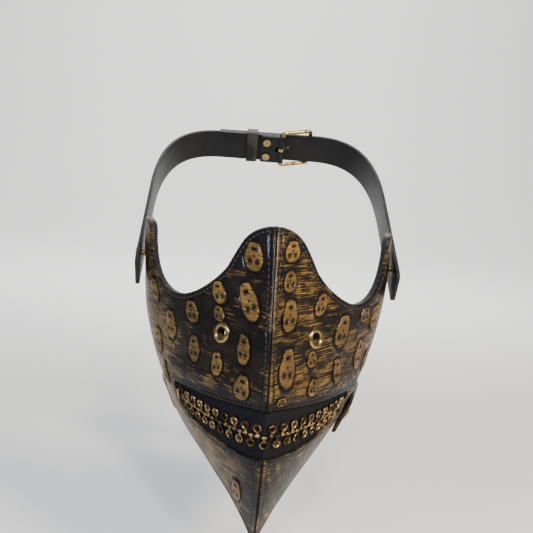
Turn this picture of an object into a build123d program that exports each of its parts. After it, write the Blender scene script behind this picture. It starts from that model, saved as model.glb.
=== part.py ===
from build123d import *
import math
import os

# Half-face leather mask with a closed skull-tooth zip, vent eyelets, a buckled head
# harness, a swivelling neck strap and a strap ring.
# Frame: X across the face, -Y out of the nose, +Z up, origin between the eyes.

os.makedirs("parts", exist_ok=True)

# ---------------------------------------------------------------- thicknesses (mm)
LEATHER = 1.4
LINING = 3.0
TAPE = 0.8
LAYER_GAP = 0.05

# ---------------------------------------------------------------- facial shell
CURVE_END_Y = 64.0
BLANK_REAR_Y = 76.0
SIDE_REACH = 110.0

# levels of the shell: height, ridge position, half width, ridge angle, front and rear reach
BROW = (24, -4, 76.6, 30, 22, 36)
BRIDGE = (-10, -21.5, 77, 44, 26, 39)
NOSTRIL = (-44, -39.7, 75, 51, 31, 38)
LIP = (-70, -44.3, 69.8, 40, 30, 37)
ZIP = (-91, -43, 62.5, 21, 28, 34)
JAW = (-112, -40, 54, 34, 25, 30)
CHIN = (-136, -33.5, 40, 47, 19, 25)
BELOW_CHIN = (-172, -15.5, 20, 48, 10, 14)
KEY_LEVELS = (BROW, BRIDGE, NOSTRIL, LIP, ZIP, JAW, CHIN, BELOW_CHIN)
LEVELS_BETWEEN = 2

# side outline
NOSE_TOP_Z = 15.5
NOSE_SIDE_Y = -2.0
CHEEK_Y = 19.0
CHEEK_Z = -31.0
WING_FRONT_Y = 44.5
WING_TOP_Z = 6.0
MASK_REAR_Y = 68.0
REAR_CORNER_Z = -66.0
JAW_CORNER_Y = 47.0
JAW_CORNER_Z = -116.5
THROAT_Y = 0.0
THROAT_Z = -143.5
CHIN_TIP_Y = -20.0
CHIN_TIP_Z = -166.5

# mouth opening and zip
MOUTH_TOP_Z = -76.5
MOUTH_BOTTOM_Z = -104.5
MOUTH_END_Y = 15.0
ZIP_Z = ZIP[0]
SEWING_MARGIN = 6.0
LINING_MOUTH_MARGIN = 1.0
TOOTH_PITCH = 7.5
TEETH_PER_SIDE = 10
TOOTH_THICKNESS = 1.3
SKULL_RADIUS = 2.45
SKULL_OFFSET = 4.3
NECK_WIDTH = 1.7
CROSSBAR_WIDTH = 3.0
CROSSBAR_HEIGHT = 1.5

# vent eyelets
EYELET_X = 25.9
EYELET_Z = -44.3
EYELET_HOLE_RADIUS = 3.0
EYELET_BARREL_RADIUS = 3.5
EYELET_FLANGE_RADIUS = 5.75
EYELET_FLANGE_HEIGHT = 1.3
EYELET_SEAT = -0.35
EYELET_ROLL_RADIUS = 4.3
WASHER_RADIUS = 6.0
WASHER_THICKNESS = 0.7
WASHER_SEAT = 0.15

# rivets
SHANK_RADIUS = 1.75
RIVET_RADIUS = 5.5
RIVET_HEIGHT = 2.1
RIVET_BACK_RADIUS = 4.5
RIVET_BACK_THICKNESS = 1.0
RIVET_BACK_SINK = 0.4
HEAD_GAP = 0.1
RUNNING_FIT = 0.06

# head harness
STRAP_WIDTH = 22.0
STRAP_THICKNESS = 2.2
STRAP_INNER_X = 78.3
HARNESS_Y = 62.0
HARNESS_Z = -17.0
HARNESS_TILT = 28.0
STRAP_OVERHANG = 20.0
SIDE_RUN = 60.0
REAR_INNER_V = 138.0
REAR_STRAIGHT = 36.0
STACK_GAP = 0.2
BILLET_TIP_X = -46.0
BILLET_HOLE_X = 12.9
BILLET_HOLE_LENGTH = 7.0
BILLET_HOLE_WIDTH = 3.2
BILLET_HOLE_PITCH = 18.0

# buckle
BAR_RADIUS = 1.5
HEEL_X = 10.0
FRAME_REACH = 22.0
FRAME_HALF_WIDTH = 13.75
FRAME_CORNER = 2.4
KNUCKLE_WALL = 1.2
PRONG_WIDTH = 2.4
PRONG_THICKNESS = 1.8
PRONG_SLOT = 4.4
KEEPER_X = -12.0
KEEPER_LENGTH = 8.0
KEEPER_THICKNESS = 1.4

# neck strap
NECK_RIVET_Y = 46.0
NECK_RIVET_Z = -107.0
NECK_STRAP_THICKNESS = 2.2
NECK_STRAP_WIDTH = 22.0
NECK_CLEARANCE = 0.4
NECK_FRONT = 14.0
NECK_STRAIGHT = 20.0
NAPE_Y = 148.0
NECK_TIP_X = -42.0
NECK_TIP_Y = 139.0

# strap ring and its tab
TAB_Y = 50.0
TAB_Z = -104.0
TAB_DROP = -18.0
TAB_REACH = 16.0
TAB_LENGTH = 30.0
TAB_WIDTH = 16.0
TAB_THICKNESS = 1.6
TAB_GAP = 0.9
RING_WIRE_RADIUS = 1.1
RING_LENGTH = 25.0
RING_WIDTH = 12.5
RING_CORNER = 3.5
RING_LIFT = 28.0


# ================================================================ shell helpers
def slope_at(index):
    """Rate of change of every level dimension with height at one key level."""
    above = KEY_LEVELS[max(index - 1, 0)]
    below = KEY_LEVELS[min(index + 1, len(KEY_LEVELS) - 1)]
    return [(a - b) / (above[0] - below[0]) for a, b in zip(above, below)]


def blend_levels(index, share):
    """Level between two neighbouring key levels on a smooth Hermite curve."""
    upper = KEY_LEVELS[index]
    lower = KEY_LEVELS[index + 1]
    span = lower[0] - upper[0]
    t = share
    weights = (2 * t**3 - 3 * t**2 + 1, t**3 - 2 * t**2 + t, 3 * t**2 - 2 * t**3, t**3 - t**2)
    start = slope_at(index)
    finish = slope_at(index + 1)
    return [
        weights[0] * u + weights[1] * span * a + weights[2] * v + weights[3] * span * b
        for u, a, v, b in zip(upper, start, lower, finish)
    ]


def all_levels():
    """Key levels with evenly spread levels between each pair."""
    levels = []
    for index in range(len(KEY_LEVELS) - 1):
        for step in range(LEVELS_BETWEEN + 1):
            levels.append(blend_levels(index, step / (LEVELS_BETWEEN + 1)))
    levels.append(KEY_LEVELS[-1])
    return levels


LEVELS = all_levels()


def level_outline(level, inset):
    """Half outline of the face shell at one level, moved inward by the inset."""
    height, ridge, half_width, angle, front, rear = level
    lean = math.radians(angle)
    nose = ridge + inset / math.cos(lean)
    reach = front - inset * math.tan(lean)
    side = half_width - inset
    with BuildSketch(Plane.XY.offset(height)) as outline:
        with BuildLine():
            Bezier(
                (0, nose),
                (reach * math.cos(lean), nose + reach * math.sin(lean)),
                (side, CURVE_END_Y - rear),
                (side, CURVE_END_Y),
            )
            Polyline((side, CURVE_END_Y), (side, BLANK_REAR_Y), (0, BLANK_REAR_Y), (0, nose))
        make_face()
    return outline.sketch.face()


def half_core(inset):
    """Solid filling the right half of the face shell, moved inward by the inset."""
    with BuildPart() as core:
        loft(sections=[level_outline(level, inset) for level in LEVELS])
    return core.part


def side_prism():
    """Right half of the space bounded by the mask's edge seen from the side."""
    with BuildSketch(Plane.YZ) as outline:
        with BuildLine():
            Line((-70, NOSE_TOP_Z), (-10, NOSE_TOP_Z))
            Bezier((-10, NOSE_TOP_Z), (-5, NOSE_TOP_Z), (NOSE_SIDE_Y, 12), (NOSE_SIDE_Y, 4))
            Line((NOSE_SIDE_Y, 4), (NOSE_SIDE_Y, -8))
            Bezier((NOSE_SIDE_Y, -8), (NOSE_SIDE_Y, -17), (7, CHEEK_Z), (CHEEK_Y, CHEEK_Z))
            Bezier((CHEEK_Y, CHEEK_Z), (32, CHEEK_Z), (42, -20), (WING_FRONT_Y, 0))
            Bezier((WING_FRONT_Y, 0), (45.2, 4), (47.5, WING_TOP_Z), (51, WING_TOP_Z))
            Line((51, WING_TOP_Z), (63, WING_TOP_Z))
            Bezier((63, WING_TOP_Z), (66, WING_TOP_Z), (MASK_REAR_Y, 4), (MASK_REAR_Y, 1))
            Line((MASK_REAR_Y, 1), (MASK_REAR_Y, REAR_CORNER_Z))
            Bezier(
                (MASK_REAR_Y, REAR_CORNER_Z),
                (MASK_REAR_Y, REAR_CORNER_Z - 26),
                (JAW_CORNER_Y + 14, JAW_CORNER_Z + 8.5),
                (JAW_CORNER_Y, JAW_CORNER_Z),
            )
            Bezier(
                (JAW_CORNER_Y, JAW_CORNER_Z),
                (JAW_CORNER_Y - 14, JAW_CORNER_Z - 8.5),
                (THROAT_Y + 14, THROAT_Z + 7.5),
                (THROAT_Y, THROAT_Z),
            )
            Bezier(
                (THROAT_Y, THROAT_Z),
                (THROAT_Y - 9, THROAT_Z - 5),
                (CHIN_TIP_Y + 5, CHIN_TIP_Z + 9),
                (CHIN_TIP_Y, CHIN_TIP_Z),
            )
            Polyline((CHIN_TIP_Y, CHIN_TIP_Z), (-70, CHIN_TIP_Z), (-70, NOSE_TOP_Z))
        make_face()
    with BuildPart() as prism:
        add(outline.sketch)
        extrude(amount=SIDE_REACH, dir=(1, 0, 0))
    return prism.part


def mouth_prism(margin):
    """Right half of the mouth slot seen from the side, widened by the margin."""
    top = MOUTH_TOP_Z + margin
    bottom = MOUTH_BOTTOM_Z - margin
    end = MOUTH_END_Y + 0.4 * margin
    bulge = end + 7 + 0.6 * margin
    with BuildSketch(Plane.YZ) as slot:
        with BuildLine():
            Line((-70, top), (-44, top))
            Bezier((-44, top), (-30, top - 2.5), (4, top - 6), (end, top - 7))
            Bezier((end, top - 7), (bulge, top - 8), (bulge, bottom + 7), (end, bottom + 5.5))
            Bezier((end, bottom + 5.5), (4, bottom + 0.5), (-26, bottom - 2.5), (-42, bottom))
            Polyline((-42, bottom), (-70, bottom), (-70, top))
        make_face()
    with BuildPart() as prism:
        add(slot.sketch)
        extrude(amount=SIDE_REACH, dir=(1, 0, 0))
    return prism.part


def surface_frame(core, start, direction):
    """Plane on the first skin of the core met by a line from start, Z pointing outward."""
    ray = Axis(start, direction)
    hits = []
    for face in core.faces():
        hits += face.find_intersection_points(ray)
    point, normal = sorted(hits, key=lambda hit: (hit[0] - Vector(start)).length)[0]
    if normal.dot(Vector(direction)) > 0:
        normal = normal * -1
    return point, normal


def tilted_plane(point, normal):
    """Plane at the point with Z along the normal and Y as close to up as it can be."""
    level = Vector(0, 0, 1).cross(normal).normalized()
    return Plane(origin=point, x_dir=level, z_dir=normal)


def rounded_loop(plane, length, width, corner):
    """Closed rounded-rectangle path centred on the plane."""
    with BuildSketch(plane) as outline:
        RectangleRounded(length, width, corner)
    return outline.sketch.face().outer_wire()


def barrel(frame, radius, low, high):
    """Round bar along the frame's Z between two heights."""
    with BuildPart() as bar:
        with BuildSketch(frame.offset(low)):
            Circle(radius)
        extrude(amount=high - low)
    return bar.part


OUTER = half_core(0)
LEATHER_BACK = half_core(LEATHER)
LINING_FACE = half_core(LEATHER + LAYER_GAP)
LINING_BACK = half_core(LEATHER + LAYER_GAP + LINING)
TAPE_FACE = half_core(LEATHER + LAYER_GAP)
TAPE_BACK = half_core(LEATHER + LAYER_GAP + TAPE)
POCKET_BACK = half_core(LEATHER + TAPE + 2 * LAYER_GAP)
EDGE = side_prism()

WALL = LEATHER + LAYER_GAP + LINING
EYELET_POINT, EYELET_NORMAL = surface_frame(OUTER, (EYELET_X, -90, EYELET_Z), (0, 1, 0))
EYELET_FRAME = tilted_plane(EYELET_POINT, EYELET_NORMAL)
SIDE_POINT = surface_frame(OUTER, (120, HARNESS_Y, HARNESS_Z), (-1, 0, 0))[0]
RIVET_FRAME = Plane(origin=SIDE_POINT, x_dir=(0, 1, 0), z_dir=(1, 0, 0))
NECK_POINT, NECK_NORMAL = surface_frame(OUTER, (120, NECK_RIVET_Y, NECK_RIVET_Z), (-1, 0, 0))
NECK_FRAME = tilted_plane(NECK_POINT, NECK_NORMAL)
TAB_POINT, TAB_NORMAL = surface_frame(OUTER, (120, TAB_Y, TAB_Z), (-1, 0, 0))


# ================================================================ leather and lining
def half_leather():
    """Right half of the embossed outer skin with its eyelet and upper rivet holes."""
    with BuildPart() as skin:
        add(OUTER)
        add(LEATHER_BACK, mode=Mode.SUBTRACT)
        add(EDGE, mode=Mode.INTERSECT)
        add(mouth_prism(0), mode=Mode.SUBTRACT)
        add(barrel(EYELET_FRAME, EYELET_BARREL_RADIUS + 0.05, -12, 12), mode=Mode.SUBTRACT)
        add(barrel(EYELET_FRAME, EYELET_FLANGE_RADIUS + 0.1, EYELET_SEAT - 0.02, 12), mode=Mode.SUBTRACT)
        add(barrel(RIVET_FRAME, SHANK_RADIUS + 0.05, -12, 12), mode=Mode.SUBTRACT)
    return skin.part


def half_lining():
    """Right half of the padded lining with the zip pocket, eyelet and rivet seats."""
    with BuildPart() as pocket:
        add(LINING_FACE)
        add(POCKET_BACK, mode=Mode.SUBTRACT)
        add(mouth_prism(SEWING_MARGIN + 0.3), mode=Mode.INTERSECT)
    with BuildPart() as pad:
        add(LINING_FACE)
        add(LINING_BACK, mode=Mode.SUBTRACT)
        add(EDGE, mode=Mode.INTERSECT)
        add(mouth_prism(LINING_MOUTH_MARGIN), mode=Mode.SUBTRACT)
        add(pocket.part, mode=Mode.SUBTRACT)
        add(barrel(EYELET_FRAME, EYELET_BARREL_RADIUS + 0.05, -12, 12), mode=Mode.SUBTRACT)
        add(barrel(EYELET_FRAME, WASHER_RADIUS + 0.1, -16, -WALL - WASHER_SEAT + 0.05), mode=Mode.SUBTRACT)
        add(barrel(RIVET_FRAME, SHANK_RADIUS + 0.05, -12, 12), mode=Mode.SUBTRACT)
        add(barrel(RIVET_FRAME, RIVET_BACK_RADIUS + 0.1, -12, -WALL + RIVET_BACK_SINK), mode=Mode.SUBTRACT)
    return pad.part


HALF_LEATHER = half_leather()
HALF_LINING = half_lining()
LEFT_LEATHER = mirror(HALF_LEATHER, about=Plane.YZ)
LEFT_LINING = mirror(HALF_LINING, about=Plane.YZ)

with BuildPart() as leather_right:
    add(HALF_LEATHER)
    add(barrel(NECK_FRAME, SHANK_RADIUS + 0.05, -12, 12), mode=Mode.SUBTRACT)
leather_right.part.label = "leather_right"
export_step(leather_right.part, "parts/leather_right.step")

with BuildPart() as leather_left:
    add(LEFT_LEATHER)
leather_left.part.label = "leather_left"
export_step(leather_left.part, "parts/leather_left.step")

with BuildPart() as lining_right:
    add(HALF_LINING)
    add(barrel(NECK_FRAME, SHANK_RADIUS + 0.05, -12, 12), mode=Mode.SUBTRACT)
    add(barrel(NECK_FRAME, RIVET_BACK_RADIUS + 0.1, -14, -WALL + RIVET_BACK_SINK), mode=Mode.SUBTRACT)
lining_right.part.label = "lining_right"
export_step(lining_right.part, "parts/lining_right.step")

with BuildPart() as lining_left:
    add(LEFT_LINING)
lining_left.part.label = "lining_left"
export_step(lining_left.part, "parts/lining_left.step")


# ================================================================ zip
def tape_sheet():
    """Right half of the tape behind the mouth slot, both sides of the zip line."""
    with BuildPart() as sheet:
        add(TAPE_FACE)
        add(TAPE_BACK, mode=Mode.SUBTRACT)
        add(mouth_prism(SEWING_MARGIN), mode=Mode.INTERSECT)
    return sheet.part


def tape_strip(low, high):
    """Right half of the tape between two heights."""
    with BuildPart() as strip:
        add(TAPE_SHEET)
        with Locations((0, 0, (low + high) / 2)):
            Box(300, 300, high - low, mode=Mode.INTERSECT)
    return strip.part


TAPE_SHEET = tape_sheet()
RIGHT_UPPER_TAPE = tape_strip(ZIP_Z + 0.3, ZIP_Z + 40)
LEFT_UPPER_TAPE = mirror(RIGHT_UPPER_TAPE, about=Plane.YZ)
RIGHT_LOWER_TAPE = tape_strip(ZIP_Z - 40, ZIP_Z - 0.3)
LEFT_LOWER_TAPE = mirror(RIGHT_LOWER_TAPE, about=Plane.YZ)

with BuildPart() as zip_tape_upper:
    add(RIGHT_UPPER_TAPE)
    add(LEFT_UPPER_TAPE)
zip_tape_upper.part.label = "zip_tape_upper"
export_step(zip_tape_upper.part, "parts/zip_tape_upper.step")

with BuildPart() as zip_tape_lower:
    add(RIGHT_LOWER_TAPE)
    add(LEFT_LOWER_TAPE)
zip_tape_lower.part.label = "zip_tape_lower"
export_step(zip_tape_lower.part, "parts/zip_tape_lower.step")


def zip_line():
    """Curve of the tape's face at the zip's height, from the middle to the cheek."""
    height, ridge, half_width, angle, front, rear = ZIP
    inset = LEATHER + LAYER_GAP
    lean = math.radians(angle)
    nose = ridge + inset / math.cos(lean)
    reach = front - inset * math.tan(lean)
    side = half_width - inset
    return Edge.make_bezier(
        Vector(0, nose, height),
        Vector(reach * math.cos(lean), nose + reach * math.sin(lean), height),
        Vector(side, CURVE_END_Y - rear, height),
        Vector(side, CURVE_END_Y, height),
    )


def tape_frame(distance):
    """Plane on the tape at a distance along the zip from the middle, Z outward, Y up."""
    line = zip_line()
    place = abs(distance) / line.length
    point = line.position_at(place)
    along = line.tangent_at(place)
    face = sorted(TAPE_FACE.faces(), key=lambda item: item.distance_to(point))[0]
    normal = face.normal_at(point)
    if normal.dot(Vector(along.Y, -along.X, 0)) < 0:
        normal = normal * -1
    if distance < 0:
        point = Vector(-point.X, point.Y, point.Z)
        normal = Vector(-normal.X, normal.Y, normal.Z)
    if distance == 0:
        normal = Vector(0, normal.Y, normal.Z).normalized()
    return tilted_plane(point + normal * 0.06, normal)


def skull_tooth():
    """One zip tooth: rimmed skull, neck and crossbar, lying on its local XY plane."""
    with BuildPart() as tooth:
        with BuildSketch():
            with Locations((0, SKULL_OFFSET)):
                Circle(SKULL_RADIUS)
            with Locations((0, SKULL_OFFSET / 2)):
                Rectangle(NECK_WIDTH, SKULL_OFFSET)
            Rectangle(CROSSBAR_WIDTH, CROSSBAR_HEIGHT)
        extrude(amount=TOOTH_THICKNESS)
        with BuildSketch(Plane.XY.offset(TOOTH_THICKNESS)):
            with Locations((0, SKULL_OFFSET)):
                Circle(SKULL_RADIUS - 0.6)
        extrude(amount=-0.35, mode=Mode.SUBTRACT)
        with BuildSketch(Plane.XY.offset(TOOTH_THICKNESS)):
            with Locations((-0.75, SKULL_OFFSET + 0.3), (0.75, SKULL_OFFSET + 0.3)):
                Ellipse(0.5, 0.65)
            with Locations((0, SKULL_OFFSET - 0.85)):
                Circle(0.28)
        extrude(amount=-0.9, mode=Mode.SUBTRACT)
    return tooth.part


TOOTH = skull_tooth()
TURNED_TOOTH = Rot(0, 0, 180) * TOOTH

with BuildPart() as zip_teeth_upper:
    for index in range(TEETH_PER_SIDE):
        distance = (index + 0.5) * TOOTH_PITCH
        add(tape_frame(distance).location * TOOTH)
        add(tape_frame(-distance).location * TOOTH)
zip_teeth_upper.part.label = "zip_teeth_upper"
export_step(zip_teeth_upper.part, "parts/zip_teeth_upper.step")

with BuildPart() as zip_teeth_lower:
    add(tape_frame(0).location * TURNED_TOOTH)
    for index in range(1, TEETH_PER_SIDE):
        distance = index * TOOTH_PITCH
        add(tape_frame(distance).location * TURNED_TOOTH)
        add(tape_frame(-distance).location * TURNED_TOOTH)
zip_teeth_lower.part.label = "zip_teeth_lower"
export_step(zip_teeth_lower.part, "parts/zip_teeth_lower.step")


def end_stop():
    """Staple closing the zip at one end, lying on its local XY plane."""
    with BuildPart() as stop:
        with Locations((0, 0, 0.8)):
            Box(2.4, 7.0, 1.6)
        fillet(stop.edges().filter_by(Axis.Z), 0.8)
    return stop.part


STOP_DISTANCE = (TEETH_PER_SIDE + 0.1) * TOOTH_PITCH

with BuildPart() as zip_stop_right:
    add(tape_frame(STOP_DISTANCE).location * end_stop())
zip_stop_right.part.label = "zip_stop_right"
export_step(zip_stop_right.part, "parts/zip_stop_right.step")

with BuildPart() as zip_stop_left:
    add(tape_frame(-STOP_DISTANCE).location * end_stop())
zip_stop_left.part.label = "zip_stop_left"
export_step(zip_stop_left.part, "parts/zip_stop_left.step")


# ================================================================ eyelets and washers
def eyelet_blank():
    """Rolled-flange eyelet: barrel through the wall, small roll behind its washer."""
    seat = EYELET_SEAT
    washer_back = -WALL - WASHER_SEAT - WASHER_THICKNESS
    middle = (EYELET_FLANGE_RADIUS + EYELET_HOLE_RADIUS) / 2
    half = (EYELET_FLANGE_RADIUS - EYELET_HOLE_RADIUS) / 2
    with BuildPart() as eyelet:
        with BuildSketch(Plane.XZ):
            with BuildLine():
                Line((EYELET_HOLE_RADIUS, washer_back - 0.45), (EYELET_HOLE_RADIUS, seat))
                EllipticalCenterArc(
                    (middle, seat),
                    half,
                    EYELET_FLANGE_HEIGHT,
                    start_angle=180,
                    arc_size=-180,
                )
                Polyline(
                    (EYELET_FLANGE_RADIUS, seat),
                    (EYELET_BARREL_RADIUS, seat),
                    (EYELET_BARREL_RADIUS, washer_back - 0.05),
                    (EYELET_ROLL_RADIUS, washer_back - 0.05),
                    (EYELET_ROLL_RADIUS, washer_back - 0.45),
                    (EYELET_HOLE_RADIUS, washer_back - 0.45),
                )
            make_face()
        revolve(axis=Axis.Z)
    return eyelet.part


def washer_blank():
    """Flat ring between the eyelet's roll and the lining."""
    top = -WALL - WASHER_SEAT
    with BuildPart() as washer:
        with BuildSketch(Plane.XY.offset(top - WASHER_THICKNESS)):
            Circle(WASHER_RADIUS)
            Circle(EYELET_BARREL_RADIUS + 0.04, mode=Mode.SUBTRACT)
        extrude(amount=WASHER_THICKNESS)
    return washer.part


RIGHT_EYELET = EYELET_FRAME.location * eyelet_blank()
RIGHT_WASHER = EYELET_FRAME.location * washer_blank()
LEFT_EYELET = mirror(RIGHT_EYELET, about=Plane.YZ)
LEFT_WASHER = mirror(RIGHT_WASHER, about=Plane.YZ)

with BuildPart() as eyelet_right:
    add(RIGHT_EYELET)
eyelet_right.part.label = "eyelet_right"
export_step(eyelet_right.part, "parts/eyelet_right.step")

with BuildPart() as eyelet_left:
    add(LEFT_EYELET)
eyelet_left.part.label = "eyelet_left"
export_step(eyelet_left.part, "parts/eyelet_left.step")

with BuildPart() as eyelet_washer_right:
    add(RIGHT_WASHER)
eyelet_washer_right.part.label = "eyelet_washer_right"
export_step(eyelet_washer_right.part, "parts/eyelet_washer_right.step")

with BuildPart() as eyelet_washer_left:
    add(LEFT_WASHER)
eyelet_washer_left.part.label = "eyelet_washer_left"
export_step(eyelet_washer_left.part, "parts/eyelet_washer_left.step")


# ================================================================ rivets
def dome_rivet(cap_seat, shank_end):
    """Domed rivet with its cap seated at one height and its shank ending at another."""
    rim = cap_seat + 0.4
    rise = RIVET_HEIGHT - 0.4
    dome_radius = (RIVET_RADIUS**2 + rise**2) / (2 * rise)
    middle_x = RIVET_RADIUS / 2
    middle_drop = dome_radius - math.sqrt(dome_radius**2 - middle_x**2)
    dome_middle = (middle_x, cap_seat + RIVET_HEIGHT - middle_drop)
    with BuildPart() as rivet:
        with BuildSketch(Plane.XZ):
            with BuildLine():
                Polyline(
                    (0, shank_end),
                    (SHANK_RADIUS, shank_end),
                    (SHANK_RADIUS, cap_seat),
                    (RIVET_RADIUS, cap_seat),
                    (RIVET_RADIUS, rim),
                )
                ThreePointArc((RIVET_RADIUS, rim), dome_middle, (0, cap_seat + RIVET_HEIGHT))
                Line((0, cap_seat + RIVET_HEIGHT), (0, shank_end))
            make_face()
        revolve(axis=Axis.Z)
    return rivet.part


def rivet_back():
    """Disc that closes a rivet on the lining side."""
    top = -WALL + RIVET_BACK_SINK - 0.05
    with BuildPart() as disc:
        with BuildSketch(Plane.XY.offset(top - RIVET_BACK_THICKNESS)):
            Circle(RIVET_BACK_RADIUS)
            Circle(SHANK_RADIUS + 0.03, mode=Mode.SUBTRACT)
        extrude(amount=RIVET_BACK_THICKNESS)
    return disc.part


SHANK_END = -WALL + RIVET_BACK_SINK - 0.05 - RIVET_BACK_THICKNESS
STRAP_LIFT = STRAP_INNER_X - SIDE_POINT.X
STRAP_SEAT = STRAP_LIFT + STRAP_THICKNESS + HEAD_GAP
RIGHT_RIVET = RIVET_FRAME.location * dome_rivet(STRAP_SEAT, SHANK_END)
RIGHT_RIVET_BACK = RIVET_FRAME.location * rivet_back()
LEFT_RIVET = mirror(RIGHT_RIVET, about=Plane.YZ)
LEFT_RIVET_BACK = mirror(RIGHT_RIVET_BACK, about=Plane.YZ)

with BuildPart() as rivet_right:
    add(RIGHT_RIVET)
rivet_right.part.label = "rivet_right"
export_step(rivet_right.part, "parts/rivet_right.step")

with BuildPart() as rivet_left:
    add(LEFT_RIVET)
rivet_left.part.label = "rivet_left"
export_step(rivet_left.part, "parts/rivet_left.step")

with BuildPart() as rivet_back_right:
    add(RIGHT_RIVET_BACK)
rivet_back_right.part.label = "rivet_back_right"
export_step(rivet_back_right.part, "parts/rivet_back_right.step")

with BuildPart() as rivet_back_left:
    add(LEFT_RIVET_BACK)
rivet_back_left.part.label = "rivet_back_left"
export_step(rivet_back_left.part, "parts/rivet_back_left.step")

with BuildPart() as rivet_neck:
    neck_seat = NECK_CLEARANCE + NECK_STRAP_THICKNESS + HEAD_GAP
    add(NECK_FRAME.location * dome_rivet(neck_seat, SHANK_END))
rivet_neck.part.label = "rivet_neck"
export_step(rivet_neck.part, "parts/rivet_neck.step")

with BuildPart() as rivet_back_neck:
    add(NECK_FRAME.location * rivet_back())
rivet_back_neck.part.label = "rivet_back_neck"
export_step(rivet_back_neck.part, "parts/rivet_back_neck.step")


# ================================================================ head harness
TILT = math.radians(HARNESS_TILT)
BACKWARD = Vector(0, math.cos(TILT), math.sin(TILT))
HARNESS = Plane(
    origin=(0, HARNESS_Y, HARNESS_Z),
    x_dir=(1, 0, 0),
    z_dir=(0, -math.sin(TILT), math.cos(TILT)),
)
HARNESS_SIDE = Plane(origin=(0, HARNESS_Y, HARNESS_Z), x_dir=BACKWARD, z_dir=(1, 0, 0))
HARNESS_REAR = Plane(
    origin=Vector(0, HARNESS_Y, HARNESS_Z) + BACKWARD * REAR_INNER_V,
    x_dir=(1, 0, 0),
    z_dir=BACKWARD * -1,
)
STRAP_OUTER_X = STRAP_INNER_X + STRAP_THICKNESS
REAR_OUTER_V = REAR_INNER_V + STRAP_THICKNESS
BILLET_INNER_V = REAR_OUTER_V + STACK_GAP
BILLET_OUTER_V = BILLET_INNER_V + STRAP_THICKNESS
KNUCKLE_RADIUS = BAR_RADIUS + RUNNING_FIT + KNUCKLE_WALL
HEEL_V = REAR_OUTER_V - KNUCKLE_RADIUS
FRONT_BAR_V = BILLET_OUTER_V + 0.15 + BAR_RADIUS


def strap_profile(side, inner_v, end_x):
    """Closed plan outline of one harness strap: side run, rear corner, straight rear."""
    outer_v = inner_v + STRAP_THICKNESS
    inner_x = side * STRAP_INNER_X
    outer_x = side * STRAP_OUTER_X
    turn = side * REAR_STRAIGHT
    with BuildSketch(HARNESS) as profile:
        with BuildLine():
            Polyline(
                (inner_x, SIDE_RUN),
                (inner_x, -STRAP_OVERHANG),
                (outer_x, -STRAP_OVERHANG),
                (outer_x, SIDE_RUN),
            )
            Bezier(
                (outer_x, SIDE_RUN),
                (outer_x, SIDE_RUN + 0.62 * (outer_v - SIDE_RUN)),
                (turn + 0.76 * (outer_x - turn), outer_v),
                (turn, outer_v),
            )
            Polyline((turn, outer_v), (end_x, outer_v), (end_x, inner_v), (turn, inner_v))
            Bezier(
                (turn, inner_v),
                (turn + 0.76 * (inner_x - turn), inner_v),
                (inner_x, SIDE_RUN + 0.62 * (inner_v - SIDE_RUN)),
                (inner_x, SIDE_RUN),
            )
        make_face()
    return profile.sketch


def rounded_front(width):
    """Long prism that rounds the front corners of a strap."""
    with BuildPart() as prism:
        with BuildSketch(HARNESS_SIDE):
            with Locations((130 - STRAP_OVERHANG, 0)):
                RectangleRounded(260, width, 4)
        extrude(amount=120, both=True)
    return prism.part


with BuildPart() as upper_strap_left:
    add(strap_profile(-1, REAR_INNER_V, HEEL_X))
    with BuildSketch(HARNESS):
        with Locations((HEEL_X, HEEL_V)):
            Circle(KNUCKLE_RADIUS)
        with Locations((1.5, REAR_INNER_V - 1.3)):
            Rectangle(13, 2.6)
    extrude(amount=STRAP_WIDTH / 2, both=True, dir=HARNESS.z_dir)
    with BuildSketch(HARNESS):
        with Locations((HEEL_X, HEEL_V)):
            Circle(BAR_RADIUS + RUNNING_FIT)
    extrude(amount=STRAP_WIDTH, both=True, mode=Mode.SUBTRACT)
    with BuildSketch(HARNESS):
        with Locations((HEEL_X, HEEL_V)):
            Rectangle(8.4, 12)
    extrude(amount=PRONG_SLOT / 2, both=True, mode=Mode.SUBTRACT)
    with BuildSketch(HARNESS_REAR):
        with Locations((-1, 6), (-1, -6)):
            Circle(1.25)
    extrude(amount=20, both=True, mode=Mode.SUBTRACT)
    with BuildSketch(HARNESS_SIDE):
        Circle(SHANK_RADIUS + RUNNING_FIT)
    extrude(amount=-120, mode=Mode.SUBTRACT)
    add(rounded_front(STRAP_WIDTH), mode=Mode.INTERSECT)
upper_strap_left.part.label = "upper_strap_left"
export_step(upper_strap_left.part, "parts/upper_strap_left.step")

with BuildPart() as upper_strap_right:
    add(strap_profile(1, BILLET_INNER_V, BILLET_TIP_X))
    extrude(amount=STRAP_WIDTH / 2, both=True, dir=HARNESS.z_dir)
    with BuildSketch(HARNESS_SIDE):
        Circle(SHANK_RADIUS + RUNNING_FIT)
    extrude(amount=120, mode=Mode.SUBTRACT)
    add(rounded_front(STRAP_WIDTH), mode=Mode.INTERSECT)
    with BuildSketch(HARNESS_REAR):
        for number in range(3):
            with Locations((BILLET_HOLE_X - number * BILLET_HOLE_PITCH, 0)):
                SlotOverall(BILLET_HOLE_LENGTH, BILLET_HOLE_WIDTH)
    extrude(amount=20, both=True, mode=Mode.SUBTRACT)
    with BuildSketch(HARNESS_REAR):
        with Locations((BILLET_TIP_X, STRAP_WIDTH / 2), (BILLET_TIP_X, -STRAP_WIDTH / 2)):
            Rectangle(14, 14, rotation=45)
    extrude(amount=20, both=True, mode=Mode.SUBTRACT)
upper_strap_right.part.label = "upper_strap_right"
export_step(upper_strap_right.part, "parts/upper_strap_right.step")

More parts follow.
